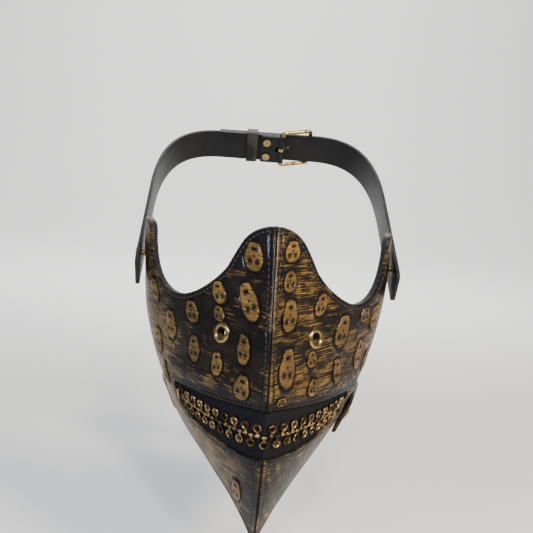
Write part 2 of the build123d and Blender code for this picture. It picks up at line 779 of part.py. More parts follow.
FRAME_RISE = FRONT_BAR_V - HEEL_V
FRAME_LENGTH = math.hypot(FRAME_REACH, FRAME_RISE)
HEEL_POINT = HARNESS.from_local_coords(Vector(HEEL_X, HEEL_V, 0))
FRONT_BAR_POINT = HARNESS.from_local_coords(Vector(HEEL_X + FRAME_REACH, FRONT_BAR_V, 0))
FRAME_PLANE = Plane(
    origin=(HEEL_POINT + FRONT_BAR_POINT) * 0.5,
    x_dir=FRONT_BAR_POINT - HEEL_POINT,
    z_dir=HARNESS.z_dir.cross(FRONT_BAR_POINT - HEEL_POINT),
)
FRAME_PATH = rounded_loop(FRAME_PLANE, FRAME_LENGTH, 2 * FRAME_HALF_WIDTH, FRAME_CORNER)

with BuildPart() as buckle_frame:
    with BuildSketch(Plane(origin=FRAME_PATH.position_at(0), z_dir=FRAME_PATH.tangent_at(0))):
        Circle(BAR_RADIUS)
    sweep(path=FRAME_PATH)
buckle_frame.part.label = "buckle_frame"
export_step(buckle_frame.part, "parts/buckle_frame.step")

with BuildPart() as buckle_prong:
    prong_top = FRONT_BAR_V + BAR_RADIUS + 0.1 + PRONG_THICKNESS / 2
    with BuildSketch(HARNESS):
        with Locations((HEEL_X, HEEL_V)):
            Circle(BAR_RADIUS + RUNNING_FIT + 0.9)
        with BuildLine():
            Polyline(
                (HEEL_X + 1.2, HEEL_V + 1.8),
                (HEEL_X + 8, prong_top - 0.4),
                (HEEL_X + FRAME_REACH + 2.6, prong_top + 0.1),
            )
        trace(line_width=PRONG_THICKNESS)
        with Locations((HEEL_X, HEEL_V)):
            Circle(BAR_RADIUS + RUNNING_FIT, mode=Mode.SUBTRACT)
    extrude(amount=PRONG_WIDTH / 2, both=True)
buckle_prong.part.label = "buckle_prong"
export_step(buckle_prong.part, "parts/buckle_prong.step")

with BuildPart() as strap_keeper:
    low_v = REAR_INNER_V - 0.15
    high_v = BILLET_OUTER_V + 0.15
    wide = STRAP_WIDTH / 2 + 0.2
    with BuildSketch(HARNESS_SIDE.offset(KEEPER_X - KEEPER_LENGTH / 2)):
        with Locations(((low_v + high_v) / 2, 0)):
            RectangleRounded(
                high_v - low_v + 2 * KEEPER_THICKNESS,
                2 * (wide + KEEPER_THICKNESS),
                1.2,
            )
            Rectangle(high_v - low_v, 2 * wide, mode=Mode.SUBTRACT)
    extrude(amount=KEEPER_LENGTH)
strap_keeper.part.label = "strap_keeper"
export_step(strap_keeper.part, "parts/strap_keeper.step")

with BuildPart() as buckle_rivets:
    with BuildSketch(HARNESS_REAR.offset(2.65)):
        with Locations((-1, 6), (-1, -6)):
            Circle(2.8)
    extrude(amount=1.1)
    with BuildSketch(HARNESS_REAR.offset(2.65)):
        with Locations((-1, 6), (-1, -6)):
            Circle(1.2)
    extrude(amount=-2.65 - STRAP_THICKNESS + 0.02)
buckle_rivets.part.label = "buckle_rivets"
export_step(buckle_rivets.part, "parts/buckle_rivets.step")


# ================================================================ neck strap
NECK_ALONG = Vector(-NECK_NORMAL.Y, NECK_NORMAL.X, 0).normalized()
NECK_OUT = Vector(NECK_NORMAL.X, NECK_NORMAL.Y, 0).normalized()
NECK_LEAN = math.asin(-NECK_NORMAL.Z)


def neck_level(drop, low, high):
    """Plan outline of the conical neck strap at a height offset from its rivet."""
    base = Vector(NECK_POINT.X, NECK_POINT.Y, 0)
    height = NECK_POINT.Z + drop
    inner = (low + math.sin(NECK_LEAN) * drop) / math.cos(NECK_LEAN)
    outer = (high + math.sin(NECK_LEAN) * drop) / math.cos(NECK_LEAN)

    def run(shift):
        """Control points of one face of the strap, moved outward by the shift."""
        start = base - NECK_ALONG * NECK_FRONT + NECK_OUT * shift
        bend = base + NECK_ALONG * NECK_STRAIGHT + NECK_OUT * shift
        lead = bend + NECK_ALONG * 40
        rear = NAPE_Y + shift
        tip = Vector(NECK_TIP_X - 0.3 * shift, NECK_TIP_Y + 0.95 * shift)
        return start, bend, lead, rear, tip

    a_start, a_bend, a_lead, a_rear, a_tip = run(inner)
    b_start, b_bend, b_lead, b_rear, b_tip = run(outer)
    with BuildSketch(Plane.XY.offset(height)) as outline:
        with BuildLine():
            Line((a_start.X, a_start.Y), (a_bend.X, a_bend.Y))
            Bezier((a_bend.X, a_bend.Y), (a_lead.X, a_lead.Y), (42, a_rear), (0, a_rear))
            Bezier((0, a_rear), (-16, a_rear), (-30, a_tip.Y + 4.5), (a_tip.X, a_tip.Y))
            Line((a_tip.X, a_tip.Y), (b_tip.X, b_tip.Y))
            Bezier((b_tip.X, b_tip.Y), (-30, b_tip.Y + 4.5), (-16, b_rear), (0, b_rear))
            Bezier((0, b_rear), (42, b_rear), (b_lead.X, b_lead.Y), (b_bend.X, b_bend.Y))
            Polyline((b_bend.X, b_bend.Y), (b_start.X, b_start.Y), (a_start.X, a_start.Y))
        make_face()
    return outline.sketch.face()


def neck_band(low, high, width):
    """Leaning strip of the neck strap between two offsets from the mask's skin."""
    rise = width / 2 * math.cos(NECK_LEAN)
    with BuildPart() as band:
        loft(sections=[neck_level(-rise, low, high), neck_level(rise, low, high)], ruled=True)
    return band.part


NECK_TOP = NECK_CLEARANCE + NECK_STRAP_THICKNESS

with BuildPart() as neck_strap:
    add(neck_band(NECK_CLEARANCE, NECK_TOP, NECK_STRAP_WIDTH))
    add(barrel(NECK_FRAME, SHANK_RADIUS + RUNNING_FIT, -10, 20), mode=Mode.SUBTRACT)
neck_strap.part.label = "neck_strap"
export_step(neck_strap.part, "parts/neck_strap.step")


def neck_patch(from_x, to_x):
    """Hook-and-loop patch on the outer face of the neck strap between two X stations."""
    with BuildPart() as patch:
        add(neck_band(NECK_TOP + 0.05, NECK_TOP + 1.05, NECK_STRAP_WIDTH - 3))
        with Locations(((from_x + to_x) / 2, NAPE_Y, NECK_POINT.Z)):
            Box(to_x - from_x, 60, 60, mode=Mode.INTERSECT)
    return patch.part


with BuildPart() as hook_patch:
    add(neck_patch(-39, -17))
hook_patch.part.label = "hook_patch"
export_step(hook_patch.part, "parts/hook_patch.step")

with BuildPart() as loop_patch:
    add(neck_patch(-11, 24))
loop_patch.part.label = "loop_patch"
export_step(loop_patch.part, "parts/loop_patch.step")


# ================================================================ ring and tab
TAB_ALONG = Vector(-TAB_NORMAL.Y, TAB_NORMAL.X, 0).normalized()
TAB_UP = TAB_NORMAL.cross(TAB_ALONG).normalized()
DROP = math.radians(TAB_DROP)
TAB_BAR = (TAB_ALONG * math.sin(DROP) - TAB_UP * math.cos(DROP)).normalized()
TAB_PLANE = Plane(
    origin=TAB_POINT - TAB_NORMAL * (WALL + TAB_GAP + TAB_THICKNESS / 2),
    x_dir=TAB_BAR,
    z_dir=TAB_NORMAL,
)
RING_PIVOT = TAB_PLANE.origin + TAB_PLANE.y_dir * TAB_REACH
LIFT = math.radians(RING_LIFT)
RING_PLANE = Plane(
    origin=RING_PIVOT,
    x_dir=TAB_PLANE.x_dir,
    z_dir=TAB_PLANE.z_dir * math.cos(LIFT) - TAB_PLANE.y_dir * math.sin(LIFT),
)
EYE_PLANE = Plane(origin=RING_PIVOT, x_dir=TAB_PLANE.y_dir, z_dir=TAB_PLANE.x_dir)


def ring_tab_blank():
    """Leather tab: flat tongue under the lining ending in an eye for the ring's bar."""
    with BuildPart() as tab:
        with BuildSketch(TAB_PLANE.offset(-TAB_THICKNESS / 2)):
            with Locations((0, TAB_REACH - TAB_LENGTH / 2)):
                Rectangle(TAB_WIDTH, TAB_LENGTH)
        extrude(amount=TAB_THICKNESS)
        with BuildSketch(EYE_PLANE):
            Circle(RING_WIRE_RADIUS + RUNNING_FIT + 1.2)
        extrude(amount=TAB_WIDTH / 2, both=True)
        with BuildSketch(EYE_PLANE):
            Circle(RING_WIRE_RADIUS + RUNNING_FIT)
        extrude(amount=TAB_WIDTH, both=True, mode=Mode.SUBTRACT)
    return tab.part


def ring_blank():
    """Oblong wire ring with one long side running through the tab's eye."""
    middle = RING_PLANE.origin + RING_PLANE.y_dir * (RING_WIDTH / 2)
    centred = Plane(origin=middle, x_dir=RING_PLANE.x_dir, z_dir=RING_PLANE.z_dir)
    path = rounded_loop(centred, RING_LENGTH, RING_WIDTH, RING_CORNER)
    with BuildPart() as ring:
        with BuildSketch(Plane(origin=path.position_at(0), z_dir=path.tangent_at(0))):
            Circle(RING_WIRE_RADIUS)
        sweep(path=path)
    return ring.part


LEFT_TAB = mirror(ring_tab_blank(), about=Plane.YZ)
LEFT_RING = mirror(ring_blank(), about=Plane.YZ)

with BuildPart() as ring_tab:
    add(LEFT_TAB)
ring_tab.part.label = "ring_tab"
export_step(ring_tab.part, "parts/ring_tab.step")

with BuildPart() as strap_ring:
    add(LEFT_RING)
strap_ring.part.label = "strap_ring"
export_step(strap_ring.part, "parts/strap_ring.step")
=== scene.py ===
import math

import bpy
import numpy as np
from mathutils import Matrix, Vector


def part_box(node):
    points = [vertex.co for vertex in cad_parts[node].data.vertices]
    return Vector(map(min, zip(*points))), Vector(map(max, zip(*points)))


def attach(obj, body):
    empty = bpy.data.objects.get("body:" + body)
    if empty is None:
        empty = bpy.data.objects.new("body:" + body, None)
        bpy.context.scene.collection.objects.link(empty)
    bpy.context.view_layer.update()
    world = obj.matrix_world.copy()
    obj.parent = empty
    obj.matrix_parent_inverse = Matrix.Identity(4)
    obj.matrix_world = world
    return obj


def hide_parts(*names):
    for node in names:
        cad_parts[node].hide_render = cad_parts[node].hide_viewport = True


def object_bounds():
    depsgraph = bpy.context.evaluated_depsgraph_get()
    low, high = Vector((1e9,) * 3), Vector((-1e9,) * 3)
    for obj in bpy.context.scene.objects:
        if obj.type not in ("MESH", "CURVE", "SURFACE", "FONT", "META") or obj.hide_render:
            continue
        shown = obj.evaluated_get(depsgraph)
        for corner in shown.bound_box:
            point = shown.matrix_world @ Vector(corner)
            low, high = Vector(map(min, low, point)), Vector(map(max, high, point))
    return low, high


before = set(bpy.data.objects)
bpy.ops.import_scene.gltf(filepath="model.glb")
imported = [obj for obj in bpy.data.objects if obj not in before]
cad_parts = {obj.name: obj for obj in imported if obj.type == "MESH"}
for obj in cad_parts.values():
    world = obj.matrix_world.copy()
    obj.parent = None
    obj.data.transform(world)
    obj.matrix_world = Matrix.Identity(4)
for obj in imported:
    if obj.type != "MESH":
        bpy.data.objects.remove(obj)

bl_info = {
    "name": "Zip-mouth leather half mask",
    "version": (1, 0, 0),
    "blender": (4, 5, 0),
    "location": "View3D > Sidebar > Mask",
    "description": "Embossed leather, zip, straps and metal of a half-face mask on its CAD frame",
    "category": "Object",
}

CAD_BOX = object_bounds()
MM = 0.001

# ---------------------------------------------------------------- shape of the face shell
# height, ridge position, half width, ridge angle, front reach, rear reach (mm and degrees)
BROW = (24, -4, 76.6, 30, 22, 36)
BRIDGE = (-10, -21.5, 77, 44, 26, 39)
NOSTRIL = (-44, -39.7, 75, 51, 31, 38)
LIP = (-70, -44.3, 69.8, 40, 30, 37)
ZIP = (-91, -43, 62.5, 21, 28, 34)
JAW = (-112, -40, 54, 34, 25, 30)
CHIN = (-136, -33.5, 40, 47, 19, 25)
BELOW_CHIN = (-172, -15.5, 20, 48, 10, 14)
LEVELS = np.array([BROW, BRIDGE, NOSTRIL, LIP, ZIP, JAW, CHIN, BELOW_CHIN], float)
CURVE_END_Y = 64.0

# layers, from the outer face inward (mm)
LEATHER = 1.4
LAYER_GAP = 0.05
UNDER_LEATHER = LEATHER + LAYER_GAP

# zip line and its teeth (mm)
ZIP_Z = ZIP[0]
TOOTH_PITCH = 7.5
TEETH_PER_SIDE = 10

# stitched rows: distances from the ridge and the edges, and the seam's heights (mm)
SEAM_HALF = 3.9
EDGE_ROW = 2.4
MOUTH_ROW = 3.0
SEAM_STITCHES = ((13.0, -73.0), (-108.0, -160.0))
STITCH_INSET = 0.12

# vent: its bore, what its two flanges cover, and where the relief fades out round it (mm)
VENT_BORE = 3.05
FLANGE_COVER = 4.7
WASHER_COVER = 4.9
VENT_BLEND = (6, 10)

# leather: grid sizes, rise of the lip, wavelengths of the unevenness, gold by side, more on the right as
# painted warm light and less on the left as painted shade
PANEL_GRID = (400, 108)
LINING_GRID = (210, 52)
LIP_RISE = (-93, -84)
RIPPLES = (42, 27, 17, 11, 7)
GOLD_AND_PAINTED_LIGHT_BY_SIDE = {1: 0.37, -1: 0.19}
INSIDE_HEAD = (0, 60, -70)

# side outline of a panel as (y, z) curves, nose top round to the chin tip
OUTLINE = (
    ((-40, 15.5), (-10, 15.5)),
    ((-10, 15.5), (-5, 15.5), (-2, 12), (-2, 4)),
    ((-2, 4), (-2, -8)),
    ((-2, -8), (-2, -17), (7, -31), (19, -31)),
    ((19, -31), (32, -31), (42, -20), (44.5, 0)),
    ((44.5, 0), (45.2, 4), (47.5, 6), (51, 6)),
    ((51, 6), (63, 6)),
    ((63, 6), (66, 6), (68, 4), (68, 1)),
    ((68, 1), (68, -66)),
    ((68, -66), (68, -92), (61, -108), (47, -116.5)),
    ((47, -116.5), (33, -125), (14, -136), (0, -143.5)),
    ((0, -143.5), (-9, -148.5), (-15, -157.5), (-20, -166.5)),
)
# lengths along the outer edge, and the lengths along the mouth edge that they join
OUTER_STOPS = (0, 26, 40, 92, 114, 136, 145, 166, 236, 302, 373)
MOUTH_STOPS = (0, 11, 18, 54, 76, 84, 85.6, 88.5, 97, 112, 155)

# embossed skulls: distance from the ridge, height, width, length, turn in degrees
LEFT_SKULLS = (
    (14, -2, 12.5, 15, 4), (17, -25, 12.5, 19, -24), (38, -24, 10, 11.5, -14),
    (61, -38.5, 10.5, 12, -6), (39, -35, 8, 8, 0), (82, -50, 10, 17, 0),
    (59, -58, 9.5, 14.5, -6), (20, -49, 9.5, 15.5, 0), (39, -61, 8.5, 12.5, -12),
    (18, -68, 11.5, 13, 4), (98, -34, 9, 14, 5), (100, -64, 9, 15, 0),
    (21, -134, 10.5, 16, 6), (92, -82, 9, 14, 5),
)
RIGHT_SKULLS = (
    (12, 2, 10.5, 11, 0), (12, -13, 9.5, 11, 5), (14, -30, 11.5, 16, 0),
    (38, -27, 9.5, 12, -4), (61, -44, 13, 18, -8), (84, -38, 10.5, 9, 0),
    (14, -56, 12.5, 20, -6), (35, -55, 8.5, 8.5, 0), (85, -62, 9.5, 18, -6),
    (59, -66, 8.5, 14, -4), (35, -70, 8, 10, -18), (99, -42, 9, 15, -5),
    (10, -72.5, 8, 5, 0), (101, -70, 9, 14, 0),
)


def level_values(z):
    """Section sizes at heights z: cubic Hermite curves through the key levels, whose
    slopes are the neighbours' differences."""
    k, v = LEVELS[:, 0], LEVELS[:, 1:]
    slope = np.empty_like(v)
    slope[1:-1] = (v[2:] - v[:-2]) / (k[2:] - k[:-2])[:, None]
    slope[0] = (v[1] - v[0]) / (k[1] - k[0])
    slope[-1] = (v[-1] - v[-2]) / (k[-1] - k[-2])
    i = np.clip(np.searchsorted(-k, -z, side="right") - 1, 0, len(k) - 2)
    span = k[i + 1] - k[i]
    f = ((z - k[i]) / span)[..., None]
    span = span[..., None]
    blend = (1 + 2 * f) * (1 - f) ** 2 * v[i] + f * (1 - f) ** 2 * span * slope[i]
    blend += f * f * (3 - 2 * f) * v[i + 1] + f * f * (f - 1) * span * slope[i + 1]
    return np.moveaxis(blend, -1, 0)


def section(t, z, inset):
    """Plan point (x, y) at share t of a level's half section: a cubic Bezier from the
    ridge to the cheek, moved inward by inset, and a straight line behind it."""
    ridge, half, angle, front, rear = level_values(z)
    lean = np.radians(angle)
    reach = front - inset * np.tan(lean)
    y0 = ridge + inset / np.cos(lean)
    c = np.minimum(t, 1)
    b1, b2, b3 = 3 * c * (1 - c) ** 2, 3 * c * c * (1 - c), c ** 3
    x = b1 * reach * np.cos(lean) + (b2 + b3) * (half - inset)
    y = (1 - c) ** 3 * y0 + b1 * (y0 + reach * np.sin(lean))
    y += b2 * (CURVE_END_Y - rear) + b3 * CURVE_END_Y + np.maximum(t - 1, 0) * 3 * rear
    return x, y


def skin(t, z, inset=0.0):
    """Points (x, y, z) of the right half of the shell, inset below its outer face."""
    x, y = section(t, z, inset)
    return np.stack([x, y, z + 0 * x], -1)


def girth(t, z):
    """Length along a level from the ridge to share t, as the sum of short chords."""
    f = np.linspace(0, 1, 25)
    zz = np.broadcast_to(z[..., None], t.shape + f.shape)
    x, y = section(t[..., None] * f, zz, 0.0)
    return np.hypot(np.diff(x), np.diff(y)).sum(-1)


def solve_share(target, z, measure):
    """Share t at which a growing measure of the level reaches its target, by halving."""
    low, high = np.zeros_like(target), np.full_like(target, 1.6)
    for _ in range(32):
        mid = (low + high) / 2
        past = measure(mid, z) > target
        high = np.where(past, mid, high)
        low = np.where(past, low, mid)
    return (low + high) / 2


def share_at_y(y, z):
    return solve_share(y, z, lambda t, h: section(t, h, 0.0)[1])


def share_at_girth(s, z):
    """Share t at which the length from the ridge is s, by Newton steps."""
    t = s / girth(np.ones_like(z), z)
    for _ in range(5):
        ahead, behind = section(t + 1e-4, z, 0.0), section(t - 1e-4, z, 0.0)
        speed = np.hypot(ahead[0] - behind[0], ahead[1] - behind[1]) / 2e-4
        t = np.maximum(t + (s - girth(t, z)) / speed, 0)
    return t


def on_shell(s, z, inset):
    """Points on the shell at flat places (s, z), inset below its outer face."""
    return skin(share_at_girth(s, z), z, inset)


def curve(points, count=40):
    """A straight or cubic Bezier stretch as points, without its first."""
    p = np.array(points, float)
    f = np.linspace(0, 1, count + 1)[1:, None]
    if len(p) == 2:
        return (1 - f) * p[0] + f * p[1]
    g = 1 - f
    return g ** 3 * p[0] + 3 * f * g * g * p[1] + 3 * f * f * g * p[2] + f ** 3 * p[3]


def mouth_edge(margin):
    """Side view of the mouth opening's edge, margin mm outside the leather's own."""
    top, low, end = -76.5 + margin, -104.5 - margin, 15 + 0.4 * margin
    bulge = end + 7 + 0.6 * margin
    return (
        ((-44, top), (-30, top - 2.5), (4, top - 6), (end, top - 7)),
        ((end, top - 7), (bulge, top - 8), (bulge, low + 7), (end, low + 5.5)),
        ((end, low + 5.5), (4, low + 0.5), (-26, low - 2.5), (-42, low)),
    )


def flat_chain(curves):
    """An edge in the flat pattern, (girth, height), from the ridge back to the ridge."""
    side = np.concatenate([np.array([curves[0][0]], float)] + [curve(c) for c in curves])
    flat = np.stack([girth(share_at_y(side[:, 0], side[:, 1]), side[:, 1]), side[:, 1]], -1)
    off = np.flatnonzero(flat[:, 0] > 0.05)
    flat = flat[off[0]:off[-1] + 1]
    return np.concatenate([[(0, flat[0, 1])], flat, [(0, flat[-1, 1])]])


def lengths(chain):
    return np.r_[0, np.cumsum(np.linalg.norm(np.diff(chain, axis=0), axis=1))]


def along(chain, place):
    """Points of a chain at the given lengths along it."""
    run = lengths(chain)
    return np.stack([np.interp(place, run, chain[:, k]) for k in range(chain.shape[1])], -1)


OUTER_FLAT = flat_chain(OUTLINE)
MOUTH_FLAT = flat_chain(mouth_edge(0.0))


def flat_grid(steps_round, steps_out, mouth_margin, rim=0.0):
    """Flat pattern of a half panel as a grid wrapped round the mouth. Each row is a
    quadratic curve from the mouth edge to the outer edge, pushed toward the wing where
    the outline turns back, so that no two rows cross."""
    mouth = flat_chain(mouth_edge(mouth_margin))
    place = np.linspace(0, lengths(OUTER_FLAT)[-1], steps_round)
    match = np.interp(place, OUTER_STOPS + (lengths(OUTER_FLAT)[-1],),
                      MOUTH_STOPS + (lengths(MOUTH_FLAT)[-1],))
    inner = along(mouth, match * lengths(mouth)[-1] / lengths(MOUTH_FLAT)[-1])
    outer = along(OUTER_FLAT, place)
    spread = np.where(place < 145, 25, 80)
    bow = 25 * np.exp(-((place - 145) / spread) ** 2)
    middle = (inner + outer) / 2 + np.stack([bow, 0 * bow], -1)
    v = np.linspace(0, 1 - rim, steps_out)[None, :, None]
    grid = inner[:, None] * (1 - v) ** 2 + 2 * v * (1 - v) * middle[:, None]
    return grid + outer[:, None] * v * v


def edge_distance(points, chain):
    """Distance from each flat point to the nearest point of a finely cut chain."""
    fine = along(chain, np.arange(0, lengths(chain)[-1], 0.8))
    flat = points.reshape(-1, 2)
    best = np.full(len(flat), 1e9)
    for part in np.array_split(fine, 24):
        gap = flat[:, None] - part[None]
        best = np.minimum(best, (gap * gap).sum(-1).min(1))
    return np.sqrt(best).reshape(points.shape[:-1])


def bell(x, width):
    return np.exp(-(x / width) ** 2)


def step(x, low, high):
    """Smooth rise from 0 at low to 1 at high."""
    f = np.clip((x - low) / (high - low), 0, 1)
    return f * f * (3 - 2 * f)


def ripple(s, z, seed):
    """Slow uneven surface of hand-worked leather: a sum of a few seeded sine waves."""
    wave = np.random.default_rng(seed)
    total = 0 * s
    for length in RIPPLES:
        turn, shift = wave.uniform(0, math.tau, 2)
        phase = (s * np.cos(turn) + z * np.sin(turn)) * math.tau / length
        total = total + length * np.sin(phase + shift)
    return total / sum(RIPPLES)


def unit(vector):
    return vector / np.linalg.norm(vector, axis=-1, keepdims=True)


def circle(count):
    return np.arange(count) * math.tau / count


def signed_power(x, power):
    return np.sign(x) * np.abs(x) ** power


def rotated(x, y, degrees):
    c, d = math.cos(math.radians(degrees)), math.sin(math.radians(degrees))
    return x * c - y * d, x * d + y * c


def grid_faces(rows, cols, closed=False):
    """Quads of a rows by cols grid of vertices, optionally closed along the columns."""
    i, j = np.meshgrid(np.arange(rows - 1), np.arange(cols if closed else cols - 1), indexing="ij")
    k = (j + 1) % cols
    quads = np.stack([i * cols + j, i * cols + k, (i + 1) * cols + k, (i + 1) * cols + j], -1)
    return quads.reshape(-1, 4)


def tube_faces(rows, cols, turned=False):
    """Faces of a closed tube of vertices with both ends capped, or all of them turned over."""
    last = (rows - 1) * cols
    faces = grid_faces(rows, cols, closed=True).tolist()
    faces += [list(range(cols))[::-1], list(range(last, last + cols))]
    return [face[::-1] for face in faces] if turned else faces


def turned_out(points, quads):
    """Quads, reversed if their sheet faces the point inside the head instead of away."""
    corner = points[quads] - np.array(INSIDE_HEAD, float)
    swept = np.einsum("ij,ij->i", corner[:, 0], np.cross(corner[:, 1], corner[:, 2])).sum()
    return quads if swept > 0 else quads[:, ::-1]


def new_piece(name, points, faces):
    """A mesh object from points in mm and faces, with its place in its mesh."""
    mesh = bpy.data.meshes.new(name)
    places = (np.asarray(points).reshape(-1, 3) * MM).tolist()
    mesh.from_pydata(places, [], [list(map(int, face)) for face in faces])
    mesh.validate()
    mesh.update()
    mesh.polygons.foreach_set("use_smooth", np.full(len(mesh.polygons), True))
    piece = bpy.data.objects.new(name, mesh)
    bpy.context.scene.collection.objects.link(piece)
    return piece


def point_value(piece, name, values):
    layer = piece.data.attributes.new(name, "FLOAT", "POINT")
    layer.data.foreach_set("value", np.asarray(values, np.float32).reshape(-1))


def gilding_guides(piece, gilt, groove, flat):
    """Stores how much gold each point takes, how far it is in a groove, and its flat place."""
    point_value(piece, "gilt", gilt)
    point_value(piece, "groove", groove)
    layer = piece.data.attributes.new("flat", "FLOAT_VECTOR", "POINT")
    layer.data.foreach_set("vector", np.asarray(flat, np.float32).reshape(-1))


def thicken(piece, name, thickness):
    """Gives a sheet its thickness in mm, on its inner side."""
    wall = piece.modifiers.new(name, "SOLIDIFY")
    wall.thickness = thickness * MM
    wall.offset = -1


def round_edges(piece, name, width, degrees):
    """Rounds the edges that turn by more than the angle."""
    edge = piece.modifiers.new(name, "BEVEL")
    edge.width = width * MM
    edge.segments = 3
    edge.angle_limit = math.radians(degrees)


def mirrored(points, faces, side):
    """Points and faces of the right half, or both turned over for the left half."""
    if side > 0:
        return points, faces
    return points * np.array([-1, 1, 1]), [tuple(reversed(f)) for f in faces]


# ---------------------------------------------------------------- shader node groups
def add_node(tree, kind, **settings):
    node = tree.nodes.new(kind)
    for key, value in settings.items():
        setattr(node, key, value)
    return node


def feed(tree, socket, value):
    """Sets a socket to a plain value, or links an output to it."""
    if isinstance(value, (int, float, tuple)):
        socket.default_value = value
    else:
        tree.links.new(value, socket)


def wire(tree, node, **values):
    """Feeds a node's inputs by name, written with _ for a space."""
    for key, value in values.items():
        feed(tree, node.inputs[key.replace("_", " ")], value)
    return node


def new_group(name, inputs, outputs):
    """An empty node group with named sockets: inputs as (name, type, default)."""
    tree = bpy.data.node_groups.new(name, "ShaderNodeTree")
    for label, kind, default in inputs:
        socket = tree.interface.new_socket(name=label, in_out="INPUT", socket_type=kind)
        socket.default_value = default
    for label, kind in outputs:
        tree.interface.new_socket(name=label, in_out="OUTPUT", socket_type=kind)
    return tree, add_node(tree, "NodeGroupInput"), add_node(tree, "NodeGroupOutput")


def noise(tree, vector, scale, detail=4.0, roughness=0.55):
    node = add_node(tree, "ShaderNodeTexNoise")
    wire(tree, node, Vector=vector, Scale=scale, Detail=detail, Roughness=roughness)
    return node.outputs["Fac"]


def maths(tree, operation, first, second=None, clamp=False):
    node = add_node(tree, "ShaderNodeMath", operation=operation, use_clamp=clamp)
    for socket, value in zip(node.inputs, (first, second)):
        if value is not None:
            feed(tree, socket, value)
    return node.outputs[0]


def weighted(tree, *terms):
    """Sum of values, each given with its weight."""
    parts = [maths(tree, "MULTIPLY", value, weight) for value, weight in terms]
    total = parts[0]
    for part in parts[1:]:
        total = maths(tree, "ADD", total, part)
    return total


def between(tree, value, low, high, to_low=0.0, to_high=1.0):
    """Value mapped smoothly from low..high to to_low..to_high."""
    node = add_node(tree, "ShaderNodeMapRange", interpolation_type="SMOOTHSTEP")
    for socket, given in zip(node.inputs, (value, low, high, to_low, to_high)):
        feed(tree, socket, given)
    return node.outputs[0]


def mix_colour(tree, share, first, second):
    node = add_node(tree, "ShaderNodeMix", data_type="RGBA")
    for index, given in ((0, share), (6, first), (7, second)):
        feed(tree, node.inputs[index], given + (1.0,) if isinstance(given, tuple) else given)
    return node.outputs[2]


def stretched(tree, vector, scale):
    return wire(tree, add_node(tree, "ShaderNodeMapping"), Vector=vector, Scale=scale).outputs["Vector"]


def object_place(tree):
    return add_node(tree, "ShaderNodeTexCoord").outputs["Object"]


def grain_group():
    """Leather grain: cell borders and fine noise as a height, with a wear mask."""
    tree, inside, outside = new_group(
        "leather_grain", [("Scale", "NodeSocketFloat", 900.0)],
        [("Height", "NodeSocketFloat"), ("Wear", "NodeSocketFloat")])
    place = object_place(tree)
    cells = add_node(tree, "ShaderNodeTexVoronoi", feature="DISTANCE_TO_EDGE")
    wire(tree, cells, Vector=place, Scale=inside.outputs["Scale"])
    pores = between(tree, cells.outputs["Distance"], 0.0, 0.25)
    height = weighted(tree, (pores, 0.7), (noise(tree, place, 2600.0), 0.3))
    wire(tree, outside, Height=height, Wear=between(tree, noise(tree, place, 60.0, 6.0), 0.42, 0.62))
    return tree


def gilding_group():
    """Dry-brushed gold: long thin strokes across the surface, more where Amount is high."""
    tree, inside, outside = new_group(
        "brushed_gilding",
        [("Vector", "NodeSocketVector", (0, 0, 0)), ("Amount", "NodeSocketFloat", 0.5)],
        [("Mask", "NodeSocketFloat"), ("Height", "NodeSocketFloat")])
    place = inside.outputs["Vector"]
    broad = between(tree, noise(tree, stretched(tree, place, (0.05, 0.8, 1)), 1.0, 3.0), 0.3, 0.7)
    fine = noise(tree, stretched(tree, place, (0.075, 2.9, 1)), 1.0, 5.0, 0.65)
    strokes = between(tree, fine, 0.34, 0.66)
    blotch = between(tree, noise(tree, stretched(tree, place, (0.13, 0.2, 1)), 1.0, 3.0), 0.3, 0.7)
    total = weighted(tree, (strokes, 0.45), (broad, 0.3), (blotch, 0.25))
    over = maths(tree, "SUBTRACT", total, maths(tree, "SUBTRACT", 1.0, inside.outputs["Amount"]))
    wire(tree, outside, Mask=between(tree, over, -0.06, 0.12), Height=strokes)
    return tree


def tarnish_group():
    """Old brass: polished colour broken by dark tarnish, with roughness and fine scratches."""
    tree, inside, outside = new_group(
        "tarnish",
        [("Bright", "NodeSocketColor", (0.6, 0.42, 0.18, 1)),
         ("Dark", "NodeSocketColor", (0.06, 0.04, 0.02, 1)), ("Amount", "NodeSocketFloat", 0.5)],
        [("Colour", "NodeSocketColor"), ("Roughness", "NodeSocketFloat"), ("Height", "NodeSocketFloat")])
    place = object_place(tree)
    limit = maths(tree, "SUBTRACT", 0.85, maths(tree, "MULTIPLY", inside.outputs["Amount"], 0.5))
    stain = maths(tree, "SUBTRACT", noise(tree, place, 160.0, 4.0, 0.55), limit)
    stain = between(tree, stain, -0.1, 0.15)
    scratches = noise(tree, stretched(tree, place, (1.0, 1.0, 7.0)), 900.0, 3.0)
    rough = weighted(tree, (stain, 0.28), (scratches, 0.25))
    wire(tree, outside, Height=scratches, Roughness=maths(tree, "ADD", rough, 0.14),
         Colour=mix_colour(tree, stain, inside.outputs["Bright"], inside.outputs["Dark"]))
    return tree


def weave_group():
    """Plain weave: two crossed wave textures as a height, with a little lint."""
    tree, inside, outside = new_group(
        "weave", [("Scale", "NodeSocketFloat", 600.0)],
        [("Height", "NodeSocketFloat"), ("Lint", "NodeSocketFloat")])
    place = object_place(tree)
    bands = []
    for direction in ("X", "Z"):
        wave = add_node(tree, "ShaderNodeTexWave", bands_direction=direction)
        wire(tree, wave, Vector=place, Scale=inside.outputs["Scale"], Distortion=0.6)
        bands.append(wave.outputs["Fac"])
    wire(tree, outside, Height=maths(tree, "MAXIMUM", *bands),
         Lint=between(tree, noise(tree, place, 1800.0, 3.0), 0.55, 0.75))
    return tree


def place_group(tree, name, build, **values):
    """A node of the named group, which is built at its first use."""
    group = bpy.data.node_groups.get(name) or build()
    return wire(tree, add_node(tree, "ShaderNodeGroup", node_tree=group), **values)


